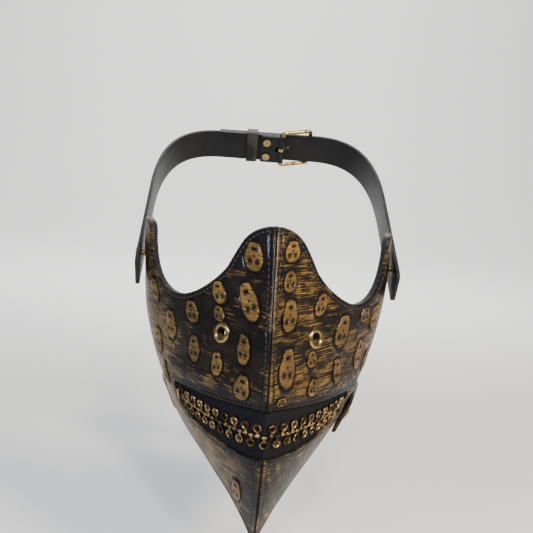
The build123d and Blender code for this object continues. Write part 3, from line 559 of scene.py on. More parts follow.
def new_material(name, coat=0.0, sheen=0.0, specular=0.5):
    material = bpy.data.materials.new(name)
    material.use_nodes = True
    tree = material.node_tree
    shader = tree.nodes["Principled BSDF"]
    shader.inputs["Coat Weight"].default_value = coat
    shader.inputs["Coat Roughness"].default_value = 0.1
    shader.inputs["Specular IOR Level"].default_value = specular
    shader.inputs["Sheen Weight"].default_value = sheen
    return material, tree, shader


def bump(tree, shader, height, strength, distance):
    node = add_node(tree, "ShaderNodeBump")
    wire(tree, node, Strength=strength, Distance=distance, Height=height)
    wire(tree, shader, Normal=node.outputs["Normal"])


def read_value(tree, name, socket="Fac"):
    return add_node(tree, "ShaderNodeAttribute", attribute_name=name).outputs[socket]


def panel_leather(name):
    """Black leather dry-brushed with gold: the gilt value sets how much gold a point
    takes, and the groove value keeps creases black."""
    material, tree, shader = new_material(name, coat=0.14, specular=0.06)
    grain = place_group(tree, "leather_grain", grain_group, Scale=850.0)
    gold = place_group(tree, "brushed_gilding", gilding_group,
                       Vector=read_value(tree, "flat", "Vector"), Amount=read_value(tree, "gilt"))
    wear, strokes = grain.outputs["Wear"], gold.outputs["Height"]
    groove = read_value(tree, "groove")
    smooth = maths(tree, "SUBTRACT", 1.0, groove)
    mask = maths(tree, "MULTIPLY", gold.outputs["Mask"], smooth, clamp=True)
    kept = maths(tree, "ADD", 0.55, maths(tree, "MULTIPLY", wear, 0.45))
    mask = maths(tree, "MULTIPLY", mask, kept)
    faint = maths(tree, "MULTIPLY", strokes, maths(tree, "ADD", wear, 0.4), clamp=True)
    dark = mix_colour(tree, faint, colour_of("black"), colour_of("brown"))
    gilded = mix_colour(tree, strokes, colour_of("umber"), colour_of("gold"))
    colour = mix_colour(tree, mask, dark, gilded)
    colour = mix_colour(tree, maths(tree, "MULTIPLY", groove, 0.85), colour, (0.004, 0.004, 0.005))
    wire(tree, shader, Base_Color=colour, Metallic=maths(tree, "MULTIPLY", mask, 0.45),
         Roughness=between(tree, grain.outputs["Height"], 0.0, 1.0, 0.46, 0.3))
    bump(tree, shader, weighted(tree, (grain.outputs["Height"], 0.5), (strokes, 0.8)), 0.55, 0.0004)
    return material


def strap_leather(name):
    """Bronze-brushed leather on the outer face, black on the inner face and the edges."""
    material, tree, shader = new_material(name, coat=0.08, specular=0.25)
    grain = place_group(tree, "leather_grain", grain_group, Scale=800.0).outputs["Height"]
    place = stretched(tree, object_place(tree), (1000.0, 1000.0, 1000.0))
    gold = place_group(tree, "brushed_gilding", gilding_group, Vector=place, Amount=0.52)
    mask = maths(tree, "MULTIPLY", gold.outputs["Mask"], read_value(tree, "outside"))
    wire(tree, shader, Base_Color=mix_colour(tree, mask, colour_of("black"), colour_of("umber")),
         Metallic=maths(tree, "MULTIPLY", mask, 0.4), Roughness=between(tree, grain, 0.0, 1.0, 0.6, 0.4))
    bump(tree, shader, grain, 0.5, 0.0004)
    return material


def black_leather(name):
    material, tree, shader = new_material(name, coat=0.08, specular=0.25)
    grain = place_group(tree, "leather_grain", grain_group, Scale=900.0)
    colour = mix_colour(tree, grain.outputs["Wear"], colour_of("black"), (0.03, 0.026, 0.024))
    wire(tree, shader, Base_Color=colour,
         Roughness=between(tree, grain.outputs["Height"], 0.0, 1.0, 0.58, 0.36))
    bump(tree, shader, grain.outputs["Height"], 0.5, 0.0004)
    return material


def woven_black(name, scale, sheen):
    material, tree, shader = new_material(name, sheen=sheen, specular=0.06)
    weave = place_group(tree, "weave", weave_group, Scale=scale)
    height = weave.outputs["Height"]
    lint = maths(tree, "MULTIPLY", weave.outputs["Lint"], 0.25)
    # painted shade: the cloth is darker in the weave's low places between the threads and lighter on its
    # crests
    colour = mix_colour(tree, height, (0.003, 0.003, 0.004), (0.014, 0.014, 0.017))
    colour = mix_colour(tree, lint, colour, (0.10, 0.10, 0.11))
    wire(tree, shader, Base_Color=colour, Roughness=between(tree, height, 0.0, 1.0, 0.95, 0.8))
    bump(tree, shader, height, 0.6, 0.0003)
    return material


def black_thread(name):
    material, tree, shader = new_material(name)
    twist = noise(tree, stretched(tree, object_place(tree), (1.0, 1.0, 3.0)), 3000.0)
    colour = mix_colour(tree, twist, (0.004, 0.004, 0.005), (0.05, 0.05, 0.06))
    wire(tree, shader, Base_Color=colour, Roughness=between(tree, twist, 0.3, 0.7, 0.35, 0.6))
    bump(tree, shader, twist, 0.4, 0.0002)
    return material


def vectors(tree, operation, first, second):
    """A vector operation on an output and a plain vector."""
    node = add_node(tree, "ShaderNodeVectorMath", operation=operation)
    feed(tree, node.inputs[0], first)
    feed(tree, node.inputs[1], second)
    return node.outputs[0]


def bore_shade(tree, centre, axis):
    """Painted shade of a hole: 1 inside a bore and 0 outside it, for a bore given on the right side in metres
    and
    its mirror image: the distance from the axis is the length of a cross product."""
    split = add_node(tree, "ShaderNodeSeparateXYZ")
    feed(tree, split.inputs[0], object_place(tree))
    folded = add_node(tree, "ShaderNodeCombineXYZ")
    wire(tree, folded, X=maths(tree, "ABSOLUTE", split.outputs[0]), Y=split.outputs[1], Z=split.outputs[2])
    offset = vectors(tree, "SUBTRACT", folded.outputs[0], centre)
    across = vectors(tree, "CROSS_PRODUCT", offset, axis)
    reach = add_node(tree, "ShaderNodeVectorMath", operation="LENGTH")
    feed(tree, reach.inputs[0], across)
    return between(tree, reach.outputs["Value"], VENT_BORE * MM, (VENT_BORE + 0.35) * MM, 1.0, 0.0)


def old_brass(name, bright, dark, amount, bore=None):
    """Tarnished brass, black where the recess value is 1, and inside the given bore black and not metallic as
    painted shade in the hole.
    """
    material, tree, shader = new_material(name)
    metal = place_group(tree, "tarnish", tarnish_group, Bright=bright + (1,), Dark=dark + (1,), Amount=amount)
    # inside a given bore the brass is painted near black and not metallic: painted shade in the hole
    sunk = bore_shade(tree, *bore) if bore else read_value(tree, "recess")
    colour = mix_colour(tree, sunk, metal.outputs["Colour"], (0.006, 0.005, 0.004))
    worn = maths(tree, "ADD", metal.outputs["Roughness"], maths(tree, "MULTIPLY", sunk, 0.4))
    wire(tree, shader, Base_Color=colour, Roughness=worn,
         Metallic=maths(tree, "SUBTRACT", 1.0, sunk) if bore else 1.0)
    bump(tree, shader, metal.outputs["Height"], 0.06, 0.0002)
    return material


def paint(piece, material):
    piece.data.materials.clear()
    piece.data.materials.append(material)
    return piece


def finish(build, name, *values):
    """The named material, which is built at its first use."""
    return bpy.data.materials.get(name) or build(name, *values)


# ---------------------------------------------------------------- leather panels
def eyelet_centre(side):
    """Middle of an eyelet node's box on its outer side, in mm."""
    low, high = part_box("eyelet_right" if side > 0 else "eyelet_left")
    return np.array((low + high) / 2) / MM


def eyelet_axis():
    """Outward direction of the shell at the right eyelet: the cross product of its two
    surface directions."""
    y, z = eyelet_centre(1)[1:]
    z = np.array([z])
    t = share_at_y(np.array([y]), z)
    across = skin(t + 0.01, z) - skin(t - 0.01, z)
    upward = skin(t, z + 1) - skin(t, z - 1)
    return unit(np.cross(across, upward)[0])


def skull_list(side):
    return RIGHT_SKULLS if side > 0 else LEFT_SKULLS


def skull_form(q):
    """Narrowing and squareness of a skull at height q, -0.5 to 0.5: a round cranium below,
    a narrower and squarer jaw above."""
    jaw = step(q, -0.02, 0.22)
    return 1 - 0.27 * jaw, 2.3 + 1.6 * jaw


def skull_reach(s, z, skull):
    """How far a flat point lies from a skull's middle, 1 at its outline."""
    s0, z0, width, length, turn = skull
    p, q = rotated(s - s0, z - z0, -turn)
    narrow, power = skull_form(q / length)
    return (np.abs(p / (width / 2 * narrow)) ** power + np.abs(q / (length / 2)) ** power) ** (1 / power)


def swell(s, z, side):
    """Slow height of the leather: uneven hand work and the padded lip over the mouth."""
    mouth = edge_distance(np.stack([s, z], -1), MOUTH_FLAT)
    slow = size("swell") * ripple(s, z, 4 if side > 0 else 9)
    return slow + size("lip") * step(z, *LIP_RISE) * bell(mouth - 10, 6)


def panel_relief(s, z, side):
    """Height of the leather above the smooth shell, with its gold and groove values: a
    raised seam band, stitched turned edges, a padded lip and a moat round each skull. The gold value holds
    painted light too: more gold on the right panel as painted warm light, less on the left as painted shade."""
    flat = np.stack([s, z], -1)
    outer = edge_distance(flat, OUTER_FLAT)
    mouth = edge_distance(flat, MOUTH_FLAT)
    upper = step(z, *LIP_RISE)
    seam_row = bell(s - SEAM_HALF, 0.55)
    edge_row = bell(outer - EDGE_ROW, 0.55)
    mouth_row = bell(mouth - MOUTH_ROW, 0.55)
    height = swell(s, z, side)
    height += size("seam_band") * (1 - step(s, SEAM_HALF - 0.9, SEAM_HALF)) - 0.8 * bell(s, 0.6)
    height -= 0.4 * (seam_row + edge_row + mouth_row)
    height -= 0.8 * (1 - step(np.minimum(outer, mouth), 0, 1.0))
    groove = seam_row + edge_row + mouth_row + 1.3 * bell(s, 0.8)
    crest = 0 * s
    for skull in skull_list(side):
        reach = skull_reach(s, z, skull)
        moat = bell((reach - 1.08) * skull[2] / 2, 0.8)
        height -= 0.35 * moat
        groove = groove + 0.9 * moat
        crest = np.maximum(crest, bell((reach - 1.45) * skull[2] / 2, 1.3))
    # the side's share of gold is partly the gilding and partly painted light: more on the right panel as
    # painted warm light, less on the left as painted shade
    gilt = GOLD_AND_PAINTED_LIGHT_BY_SIDE[side] + 0.16 * ripple(s, z, 21) + 0.06 * crest
    gilt += 0.20 * (1 - step(s, 1.0, SEAM_HALF)) - 0.10 * (1 - step(outer, 0.5, EDGE_ROW + 1))
    if side < 0:
        gilt += 0.30 * step(s, 66, 92) + 0.25 * step(-z, 62, 78) * step(s, 10, 40)
        gilt += 0.20 * step(-z, 104, 116) * step(s, 9, 20)
    else:
        streak = np.sin((s * 0.8 + z * 0.45) * 0.75 + 1.5 * ripple(s, z, 33))
        gilt += 0.16 * (streak - 0.9) * step(-z, 100, 112)
    gilt -= 0.35 * bell(mouth, 4) * upper
    return height, np.clip(gilt, 0, 1), np.clip(groove, 0, 1)


def panel_piece(name, points, cover, side):
    """A panel from its grid of points, open within cover of the vent's middle."""
    faces = grid_faces(*points.shape[:2])
    points = points.reshape(-1, 3)
    gap = np.linalg.norm(points[faces].mean(1) - eyelet_centre(1), axis=-1)
    faces = turned_out(points, faces[gap > cover])
    return new_piece(name, *mirrored(points, faces.tolist(), side))


def leather_panel(name, side):
    """A cheek panel: the flat grid laid on the shell and raised by its relief, which fades
    out round the vent hole, with the leather's thickness added behind."""
    grid = flat_grid(*PANEL_GRID, 0.0)
    s, z = grid[..., 0], grid[..., 1]
    t = share_at_girth(s, z)
    height, gilt, groove = panel_relief(s, z, side)
    gap = np.linalg.norm(skin(t, z) - eyelet_centre(1), axis=-1)
    height = height * step(gap, *VENT_BLEND)
    piece = panel_piece(name, skin(t, z, -height), FLANGE_COVER, side)
    gilding_guides(piece, gilt, groove, np.stack([s * side, z, 0 * s], -1))
    thicken(piece, "thickness", size("leather"))
    return piece


def skull_relief(skull, side, rings=22, spokes=56):
    """An embossed skull on the shell, cranium down: rings from its middle out to its
    outline, raised as a low dome with eye dents, a nose dent and a row of teeth."""
    s0, z0, width, length, turn = skull
    share = np.r_[np.linspace(0.03, 0.86, rings - 6), 0.92, 0.97, 1.01, 1.05, 1.05, 0.03]
    angle = circle(spokes)
    narrow, power = skull_form(np.sin(angle) / 2)
    q = share[:, None] * signed_power(np.sin(angle), 2 / power) / 2
    p = share[:, None] * signed_power(np.cos(angle), 2 / power) / 2 * narrow
    dome = 0.35 + size("dome") * np.sqrt(np.clip(1 - share ** 4, 0, 1))
    dome[-5:] = (0.30, 0.05, -0.25, -1.0, -1.0)
    height = dome[:, None] + 0 * angle
    inner = (share < 0.9)[:, None]
    inner[-2:] = False
    eyes = sum(bell(np.hypot((p - x) * width, (q + 0.15) * length), 0.115 * width) for x in (-0.19, 0.19))
    nose = bell(np.hypot(p * width, (q - 0.03) * length), 0.05 * width)
    slot = (1 - step(np.abs(p), 0.13, 0.17)) * bell((q - 0.27) * length, 0.045 * length)
    ticks = 0.4 * bell((q - 0.27) * length, 0.09 * length) * np.maximum(0, np.cos(p * math.tau * 9)) ** 4
    dents = np.clip(eyes + nose + slot + ticks * (np.abs(p) < 0.2), 0, 1) * inner
    height = height - 0.6 * dents
    across, above = rotated(p * width, q * length, turn)
    s, z = np.abs(s0 + across), z0 + above
    points = on_shell(s, z, -height - swell(s, z, side))
    faces = tube_faces(len(share), spokes, turned=True)
    gilt = np.where(inner, 0.9, 0.5) + 0 * q
    groove = np.clip(1.2 * dents + (share > 0.98)[:, None] * inner.max(), 0, 1)
    groove[-2:] = 1
    return points.reshape(-1, 3), faces, gilt, groove, np.stack([s * side, z, 0 * s], -1)


def join_shapes(shapes):
    """Several (points, faces, ...) stacked as one, with each one's faces shifted."""
    starts = np.cumsum([0] + [len(shape[0]) for shape in shapes])
    faces = [tuple(int(k) + int(start) for k in f) for shape, start in zip(shapes, starts) for f in shape[1]]
    return np.concatenate([shape[0] for shape in shapes]), faces


def skull_group(name, side):
    shapes = [skull_relief(skull, side) for skull in skull_list(side)]
    piece = new_piece(name, *mirrored(*join_shapes(shapes), side))
    gilding_guides(piece, *(np.concatenate([shape[k] for shape in shapes]) for k in (2, 3, 4)))
    return piece


# ---------------------------------------------------------------- stitches
def bead(rows=7, cols=8):
    """A stitch along its local X: an ellipsoid from -1 to 1, radius 1, capped at its ends."""
    turn = np.linspace(0.16, math.pi - 0.16, rows)
    angle = circle(cols)
    x = -np.cos(turn)[:, None] + 0 * angle
    r = np.sin(turn)[:, None] ** 0.7
    points = np.stack([x, r * np.cos(angle), r * np.sin(angle)], -1).reshape(-1, 3)
    return points, tube_faces(rows, cols)


def copies(template, origins, axes):
    """A template's points placed at each origin with its own three axes, and its faces."""
    points, faces = template
    placed = np.einsum("pk,nkj->npj", points, axes) + origins[:, None]
    shift = np.arange(len(origins)) * len(points)
    every = [tuple(k + int(s) for k in f) for s in shift for f in faces]
    return placed.reshape(-1, 3), every


def stitch_row(chain, pitch, length):
    """Stitches along a flat chain: each lies between two of its points on the shell."""
    middle = np.arange(pitch / 2, lengths(chain)[-1] - pitch / 2, pitch)
    ends = [along(chain, middle + k * length / 2).T for k in (-1, 1)]
    first, last = (on_shell(*end, STITCH_INSET) for end in ends)
    outward = on_shell(*ends[0], STITCH_INSET - 1) - first
    x = (last - first) / 2
    y = size("thread") * unit(np.cross(outward, unit(x)))
    z = np.cross(unit(x), y)
    return copies(bead(), (first + last) / 2, np.stack([x, y, z], 1))


def offset_chain(chain, distance):
    """A flat chain moved to its left by distance, without the points that come too near."""
    fine = along(chain, np.arange(0, lengths(chain)[-1], 0.7))
    run = np.gradient(fine, axis=0)
    moved = fine + unit(np.stack([-run[:, 1], run[:, 0]], -1)) * distance
    clear = edge_distance(moved, chain) > abs(distance) - 0.12
    return moved[clear & (moved[:, 0] > 0.6)]


def panel_stitches(name, side):
    rows = [offset_chain(OUTER_FLAT, -EDGE_ROW), offset_chain(MOUTH_FLAT, MOUTH_ROW)]
    for top, bottom in SEAM_STITCHES:
        rows.append(np.array([(SEAM_HALF, top), (SEAM_HALF, bottom)]))
    shapes = [stitch_row(row, size("stitch_pitch"), size("stitch")) for row in rows]
    return new_piece(name, *mirrored(*join_shapes(shapes), side))


# ---------------------------------------------------------------- lining and zip
def lining_panel(name, side):
    """Padded lining behind a panel: a sheet laid under the leather and thickened inward,
    with rounded rims."""
    grid = flat_grid(*LINING_GRID, 1.0, rim=0.004)
    points = on_shell(grid[..., 0], grid[..., 1], UNDER_LEATHER + 0.1)
    piece = panel_piece(name, points, WASHER_COVER, side)
    thicken(piece, "padding", size("padding"))
    round_edges(piece, "rim", 0.9, 50)
    return piece


def tape_points(distance, z, inset):
    """Points on the tape at signed lengths from the middle and heights z."""
    points = on_shell(np.abs(distance), z, inset)
    points[..., 0] *= np.where(distance < 0, -1, 1)
    return points


def zip_tape(name, upward):
    """A zip tape: ribbed cloth from the zip line to under the mouth's edge. The ribs are a
    cosine of the length along the tape, and the woven edge by the teeth is a raised bead."""
    distance = np.arange(-83, 83.01, 0.22)
    peak = np.argmax(MOUTH_FLAT[:, 0])
    half = MOUTH_FLAT[:peak + 1] if upward else MOUTH_FLAT[peak:][::-1]
    edge = np.interp(np.abs(distance), half[:, 0], half[:, 1]) + (4.5 if upward else -4.5)
    start = ZIP_Z + (0.04 if upward else -0.04)
    share = np.linspace(0, 1, 22)
    z = start + (edge[:, None] - start) * share
    d = distance[:, None] + 0 * z
    ribs = 0.11 * np.cos(d * math.tau / 1.1) * step(share, 0.12, 0.2)
    bead_height = 0.35 * bell((z - start) * (1 if upward else -1) - 0.5, 0.6)
    points = tape_points(d, z, UNDER_LEATHER + 0.1 - ribs - bead_height)
    faces = turned_out(points.reshape(-1, 3), grid_faces(*z.shape))
    piece = new_piece(name, points, faces.tolist())
    thicken(piece, "cloth", 0.6)
    return piece


def skull_head(spokes=28):
    """The head of a tooth on its local XY plane: rings of a rimmed disc whose face is
    sunk, narrowed at the jaw, with two eye pits and a nose pit."""
    radius = np.r_[0.05, np.linspace(0.25, 1.6, 8), 1.72, 1.84, 2.0, 2.18, 2.34, 2.42, 2.4, 0.05]
    height = np.r_[np.full(9, 0.95), 1.02, 1.3, 1.46, 1.46, 1.28, 0.8, 0.0, 0.0]
    angle = circle(spokes)
    x = radius[:, None] * np.cos(angle)
    y = radius[:, None] * np.sin(angle)
    x = x * (1 - 0.2 * step(-y, 0.2, 2.2))
    pits = sum(bell(np.hypot((x - e) / 0.9, (y - 0.3) / 1.15), 0.42) for e in (-0.72, 0.72))
    pits = pits + 0.7 * bell(np.hypot(x, y + 0.75), 0.24)
    z = height[:, None] - 0.75 * np.clip(pits, 0, 1) * (np.arange(len(radius)) < 9)[:, None]
    points = np.stack([x, y + 4.3, z], -1).reshape(-1, 3)
    face = (radius < 1.8)[:, None]
    sunk = np.clip(0.6 * face + np.clip(pits, 0, 1), 0, 1) * (np.arange(len(radius)) < 10)[:, None]
    return points, tube_faces(len(radius), spokes, turned=True), (sunk + 0 * x).reshape(-1)


def tooth_bar(sides=14):
    """Neck and crossbar of a tooth: rounded sections along local Y, widening at the bar."""
    y = np.array([2.6, 2.0, 1.5, 1.05, 0.85, 0.68, 0.4, 0.0, -0.4, -0.66, -0.76])
    wide = np.array([0.8, 0.72, 0.68, 0.8, 1.15, 1.42, 1.52, 1.55, 1.5, 1.3, 0.9])
    tall = np.array([0.5, 0.5, 0.48, 0.5, 0.6, 0.72, 0.8, 0.82, 0.78, 0.64, 0.4])
    angle = circle(sides)
    x = wide[:, None] * signed_power(np.cos(angle), 0.6)
    z = tall[:, None] * (signed_power(np.sin(angle), 0.7) + 1)
    points = np.stack([x, y[:, None] + 0 * x, z], -1).reshape(-1, 3)
    return points, tube_faces(len(y), sides), np.zeros(len(points))


def zip_teeth(name, distances, up):
    """Skull teeth at the given lengths along the zip, turned over for the lower row."""
    d = np.array(distances, float)
    z = np.full_like(d, ZIP_Z)
    here = tape_points(d, z, UNDER_LEATHER - 0.1)
    x = unit(tape_points(d + 0.5, z, UNDER_LEATHER) - tape_points(d - 0.5, z, UNDER_LEATHER))
    y = unit(tape_points(d, z + 1.0, UNDER_LEATHER) - tape_points(d, z - 1.0, UNDER_LEATHER))
    n = unit(np.cross(x, y))
    turn = 1 if up else -1
    shapes = [skull_head(), tooth_bar()]
    axes = np.stack([x * turn, np.cross(n, x) * turn, n], 1)
    points, faces = copies(join_shapes(shapes), here, axes)
    piece = new_piece(name, points, faces)
    point_value(piece, "recess", np.tile(np.concatenate([shape[2] for shape in shapes]), len(d)))
    return piece


# ---------------------------------------------------------------- straps and small pieces
def soft_copy(name, node, width, outward):
    """A strap from its CAD node: a merged copy with rounded edges, whose outside value is
    1 where its faces point the way outward(centre) says."""
    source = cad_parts[node].data
    count = len(source.vertices)
    co = np.empty(count * 3, np.float32)
    source.vertices.foreach_get("co", co)
    co = co.reshape(-1, 3)
    keys, index = np.unique(np.round(co, 6), axis=0, return_inverse=True)
    loops = np.empty(len(source.loops), np.int32)
    source.loops.foreach_get("vertex_index", loops)
    faces = index.reshape(-1)[loops].reshape(-1, 3)
    keep = (faces[:, 0] != faces[:, 1]) & (faces[:, 1] != faces[:, 2]) & (faces[:, 0] != faces[:, 2])
    faces = faces[keep]
    piece = new_piece(name, keys / MM, faces.tolist())
    corner = keys[faces]
    normal = np.cross(corner[:, 1] - corner[:, 0], corner[:, 2] - corner[:, 0])
    normal = normal / np.maximum(np.linalg.norm(normal, axis=1, keepdims=True), 1e-12)
    side = (normal * outward(corner.mean(1))).sum(1)
    layer = piece.data.attributes.new("outside", "FLOAT", "FACE")
    layer.data.foreach_set("value", (side > 0.5).astype(np.float32))
    round_edges(piece, "edge", width, 40)
    return piece


def from_axis(centre):
    """Direction away from the upright middle line of the head, at each face's centre."""
    out = centre - np.array([0.0, 0.085, 0.0])
    out[:, 2] = 0
    return unit(out)


def away_from(node):
    low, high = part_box(node)
    middle = np.array((low + high) / 2)
    return lambda centre: from_axis(centre) if middle[1] > 0.04 else centre - middle


# ---------------------------------------------------------------- user settings
def colour_setting(name, description, default):
    return bpy.props.FloatVectorProperty(
        name=name, description=description, default=default, subtype="COLOR", size=3)


def length_setting(name, description, default, low=0.0):
    return bpy.props.FloatProperty(
        name=name, description=description, default=default, unit="LENGTH", min=low)


def angle_setting(name, description, degrees):
    return bpy.props.FloatProperty(
        name=name, description=description, default=math.radians(degrees), subtype="ANGLE")


class MaskColours(bpy.types.PropertyGroup):
    """Colours of the mask's finishes."""

    black: colour_setting("Black", "Leather in the shade", (0.003, 0.003, 0.004))
    brown: colour_setting("Brown", "Faint brush strokes on dark leather", (0.021, 0.014, 0.009))
    umber: colour_setting("Umber", "Thin gold over dark leather", (0.046, 0.025, 0.009))
    gold: colour_setting("Gold", "Full strokes of gold", (0.35, 0.205, 0.058))
    brass: colour_setting("Brass", "Eyelets, rivets and buckle", (0.36, 0.25, 0.10))
    teeth: colour_setting("Teeth", "Metal of the zip's teeth", (0.34, 0.23, 0.10))
    wire: colour_setting("Wire", "Metal of the ring", (0.30, 0.20, 0.09))


class MaskSizes(bpy.types.PropertyGroup):
    """Thicknesses and relief of the leather, and the stitches."""

    leather: length_setting("Leather", "Thickness of the cheek panels", 0.0014, 0.0005)
    padding: length_setting("Padding", "Thickness of the linings", 0.00285, 0.001)
    swell: length_setting("Swell", "Height of the slow unevenness of the leather", 0.0003)
    lip: length_setting("Lip", "Height of the padded lip over the mouth", 0.0015)
    dome: length_setting("Skull height", "Height of a skull's middle above its rim", 0.0005)
    seam_band: length_setting("Seam band", "Height of the band beside the ridge", 0.0005)
    stitch: length_setting("Stitch", "Length of one stitch", 0.0023, 0.0005)
    stitch_pitch: length_setting("Stitch pitch", "Distance from stitch to stitch", 0.0031, 0.001)
    thread: length_setting("Thread", "Half the thickness of the thread", 0.00034, 0.0001)


class MaskStage(bpy.types.PropertyGroup):
    """Camera and floor."""

    lens: bpy.props.FloatProperty(
        name="Lens", description="Focal length on a 36 mm sensor", default=54.0, min=10, max=200)
    distance: length_setting("Distance", "Camera to the middle of the eyes", 0.44, 0.1)
    elevation: angle_setting("Elevation", "Camera above the eyes", 9.9)
    pitch: angle_setting("Pitch", "Camera's tilt downward", 11)
    yaw: angle_setting("Yaw", "Camera's turn to the viewer's left", -3)
    roll: angle_setting("Roll", "Turn about the line of sight", 4.4)
    floor_gap: length_setting("Floor gap", "Floor below the lowest point", 0.05)


def colour_of(name):
    return tuple(getattr(bpy.context.scene.mask_colours, name))


def size(name):
    """A size setting in mm."""
    return getattr(bpy.context.scene.mask_sizes, name) / MM


def dress(piece, material, body, slot, *nodes):
    """Gives a piece its material and body, and hides the CAD nodes it stands for. The slot argument is not
    used.
    """
    paint(piece, material)
    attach(piece, body)
    if nodes:
        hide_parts(*nodes)
    return piece


SIDES = (("right", 1), ("left", -1))


class MASK_OT_panels(bpy.types.Operator):
    """Make the two embossed leather cheek panels"""

    bl_idname = "mask.panels"
    bl_label = "Leather panels"

    def execute(self, context):
        leather = finish(panel_leather, "panel_leather")
        for word, side in SIDES:
            piece = leather_panel("panel_" + word, side)
            dress(piece, leather, "mask", "embossed_leather", "leather_" + word)
        return {"FINISHED"}


class MASK_OT_skulls(bpy.types.Operator):
    """Emboss the upside-down skulls on both panels"""

    bl_idname = "mask.skulls"
    bl_label = "Embossed skulls"

    def execute(self, context):
        leather = finish(panel_leather, "panel_leather")
        for word, side in SIDES:
            dress(skull_group("embossed_skulls_" + word, side), leather, "mask", "embossed_leather")
        return {"FINISHED"}


class MASK_OT_stitches(bpy.types.Operator):
    """Sew the edges, the ridge seam and the mouth edge with black thread"""

    bl_idname = "mask.stitches"
    bl_label = "Stitches"

    def execute(self, context):
        thread = finish(black_thread, "thread_black")
        for word, side in SIDES:
            dress(panel_stitches("stitches_" + word, side), thread, "mask", "lining")
        return {"FINISHED"}


class MASK_OT_linings(bpy.types.Operator):
    """Make the padded black linings"""

    bl_idname = "mask.linings"
    bl_label = "Linings"

    def execute(self, context):
        cloth = finish(woven_black, "lining_cloth", 420.0, 0.25)
        for word, side in SIDES:
            piece = lining_panel("padding_" + word, side)
            dress(piece, cloth, "mask", "lining", "lining_" + word)
        return {"FINISHED"}


class MASK_OT_zip(bpy.types.Operator):
    """Make the zip's ribbed tapes, skull teeth and stops"""

    bl_idname = "mask.zip"
    bl_label = "Skull zip"

    def execute(self, context):
        tape = finish(woven_black, "zip_cloth", 700.0, 0.0)
        metal = finish(old_brass, "tooth_brass", colour_of("teeth"), (0.035, 0.024, 0.014), 0.75)
        dress(zip_tape("tape_upper", True), tape, "mask", "zip_tape", "zip_tape_upper")
        dress(zip_tape("tape_lower", False), tape, "mask", "zip_tape", "zip_tape_lower")
        upper = [k * (i + 0.5) * TOOTH_PITCH for i in range(TEETH_PER_SIDE) for k in (-1, 1)]
        lower = [i * TOOTH_PITCH for i in range(1 - TEETH_PER_SIDE, TEETH_PER_SIDE)]
        dress(zip_teeth("teeth_upper", upper, True), metal, "mask", "zip_metal", "zip_teeth_upper")
        dress(zip_teeth("teeth_lower", lower, False), metal, "mask", "zip_metal", "zip_teeth_lower")
        for word, _ in SIDES:
            paint(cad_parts["zip_stop_" + word], metal)
        return {"FINISHED"}


class MASK_OT_straps(bpy.types.Operator):
    """Make the head straps, the neck strap, the keeper and the ring's tab"""

    bl_idname = "mask.straps"
    bl_label = "Straps"

    def execute(self, context):
        bronze = finish(strap_leather, "bronze_strap")
        black = finish(black_leather, "soft_black")
        for word, _ in SIDES:
            node = "upper_strap_" + word
            dress(soft_copy("head_strap_" + word, node, 0.45, away_from(node)), bronze,
                  "harness", "strap_leather", node)
        dress(soft_copy("nape_strap", "neck_strap", 0.45, away_from("neck_strap")), bronze,
              "neck_strap", "strap_leather", "neck_strap")
        dress(soft_copy("keeper", "strap_keeper", 0.3, away_from("strap_keeper")), black,
              "harness", "black_leather", "strap_keeper")
        dress(soft_copy("tab", "ring_tab", 0.3, away_from("ring_tab")), black,
              "mask", "black_leather", "ring_tab")
        return {"FINISHED"}


class MASK_OT_metal(bpy.types.Operator):
    """Finish the eyelets, rivets, buckle, ring and hook-and-loop patches"""

    bl_idname = "mask.metal"
    bl_label = "Metal fittings"

    def execute(self, context):
        brass = colour_of("brass")
        # the eyelet's bore is painted black as shade in the hole
        bore = (tuple(eyelet_centre(1) * MM), tuple(eyelet_axis()))
        fine = finish(old_brass, "eyelet_metal", brass, (0.10, 0.07, 0.03), 0.5, bore)
        aged = finish(old_brass, "rivet_metal", brass, (0.07, 0.045, 0.02), 0.55)
        wire_metal = finish(old_brass, "wire_brass", colour_of("wire"), (0.03, 0.02, 0.01), 0.6)
        hook = finish(woven_black, "hook_cloth", 1100.0, 0.0)
        finishes = {"eyelet": fine, "rivet": aged, "buckle": aged, "strap_ring": wire_metal,
                    "hook": hook, "loop": hook}
        for name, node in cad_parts.items():
            for word, material in finishes.items():
                if name.startswith(word):
                    paint(node, material)
        return {"FINISHED"}


# floor and wall: half width, front, start and radius of the bend, top (mm)
FLOOR_HALF = 4000
FLOOR_FRONT = -3000
BEND_START = 1200
BEND_RADIUS = 900
WALL_TOP = 3200

# a point the lamps face, and the camera's shift (m)
FACE_MIDDLE = (0, 0.02, -0.06)
CAMERA_SHIFT = Vector((-0.0035, 0, 0))

# name, place, width, power, colour and the point it faces
LAMPS = (
    ("key", (0.50, -0.45, 0.45), 0.16, 11.0, (1.0, 0.86, 0.66), FACE_MIDDLE),
    ("front", (0.05, -0.60, 0.60), 0.10, 6.0, (1.0, 0.95, 0.88), FACE_MIDDLE),
    ("cool", (-0.45, -0.40, 0.35), 0.10, 3.5, (0.55, 0.70, 1.0), FACE_MIDDLE),
    ("behind", (0.0, 0.80, 0.55), 0.6, 7.0, (1.0, 1.0, 1.0), FACE_MIDDLE),
    ("wall", (0.0, 0.9, 1.0), 1.6, 45.0, (1.0, 1.0, 1.0), (0.0, 2.1, 0.45)),
)


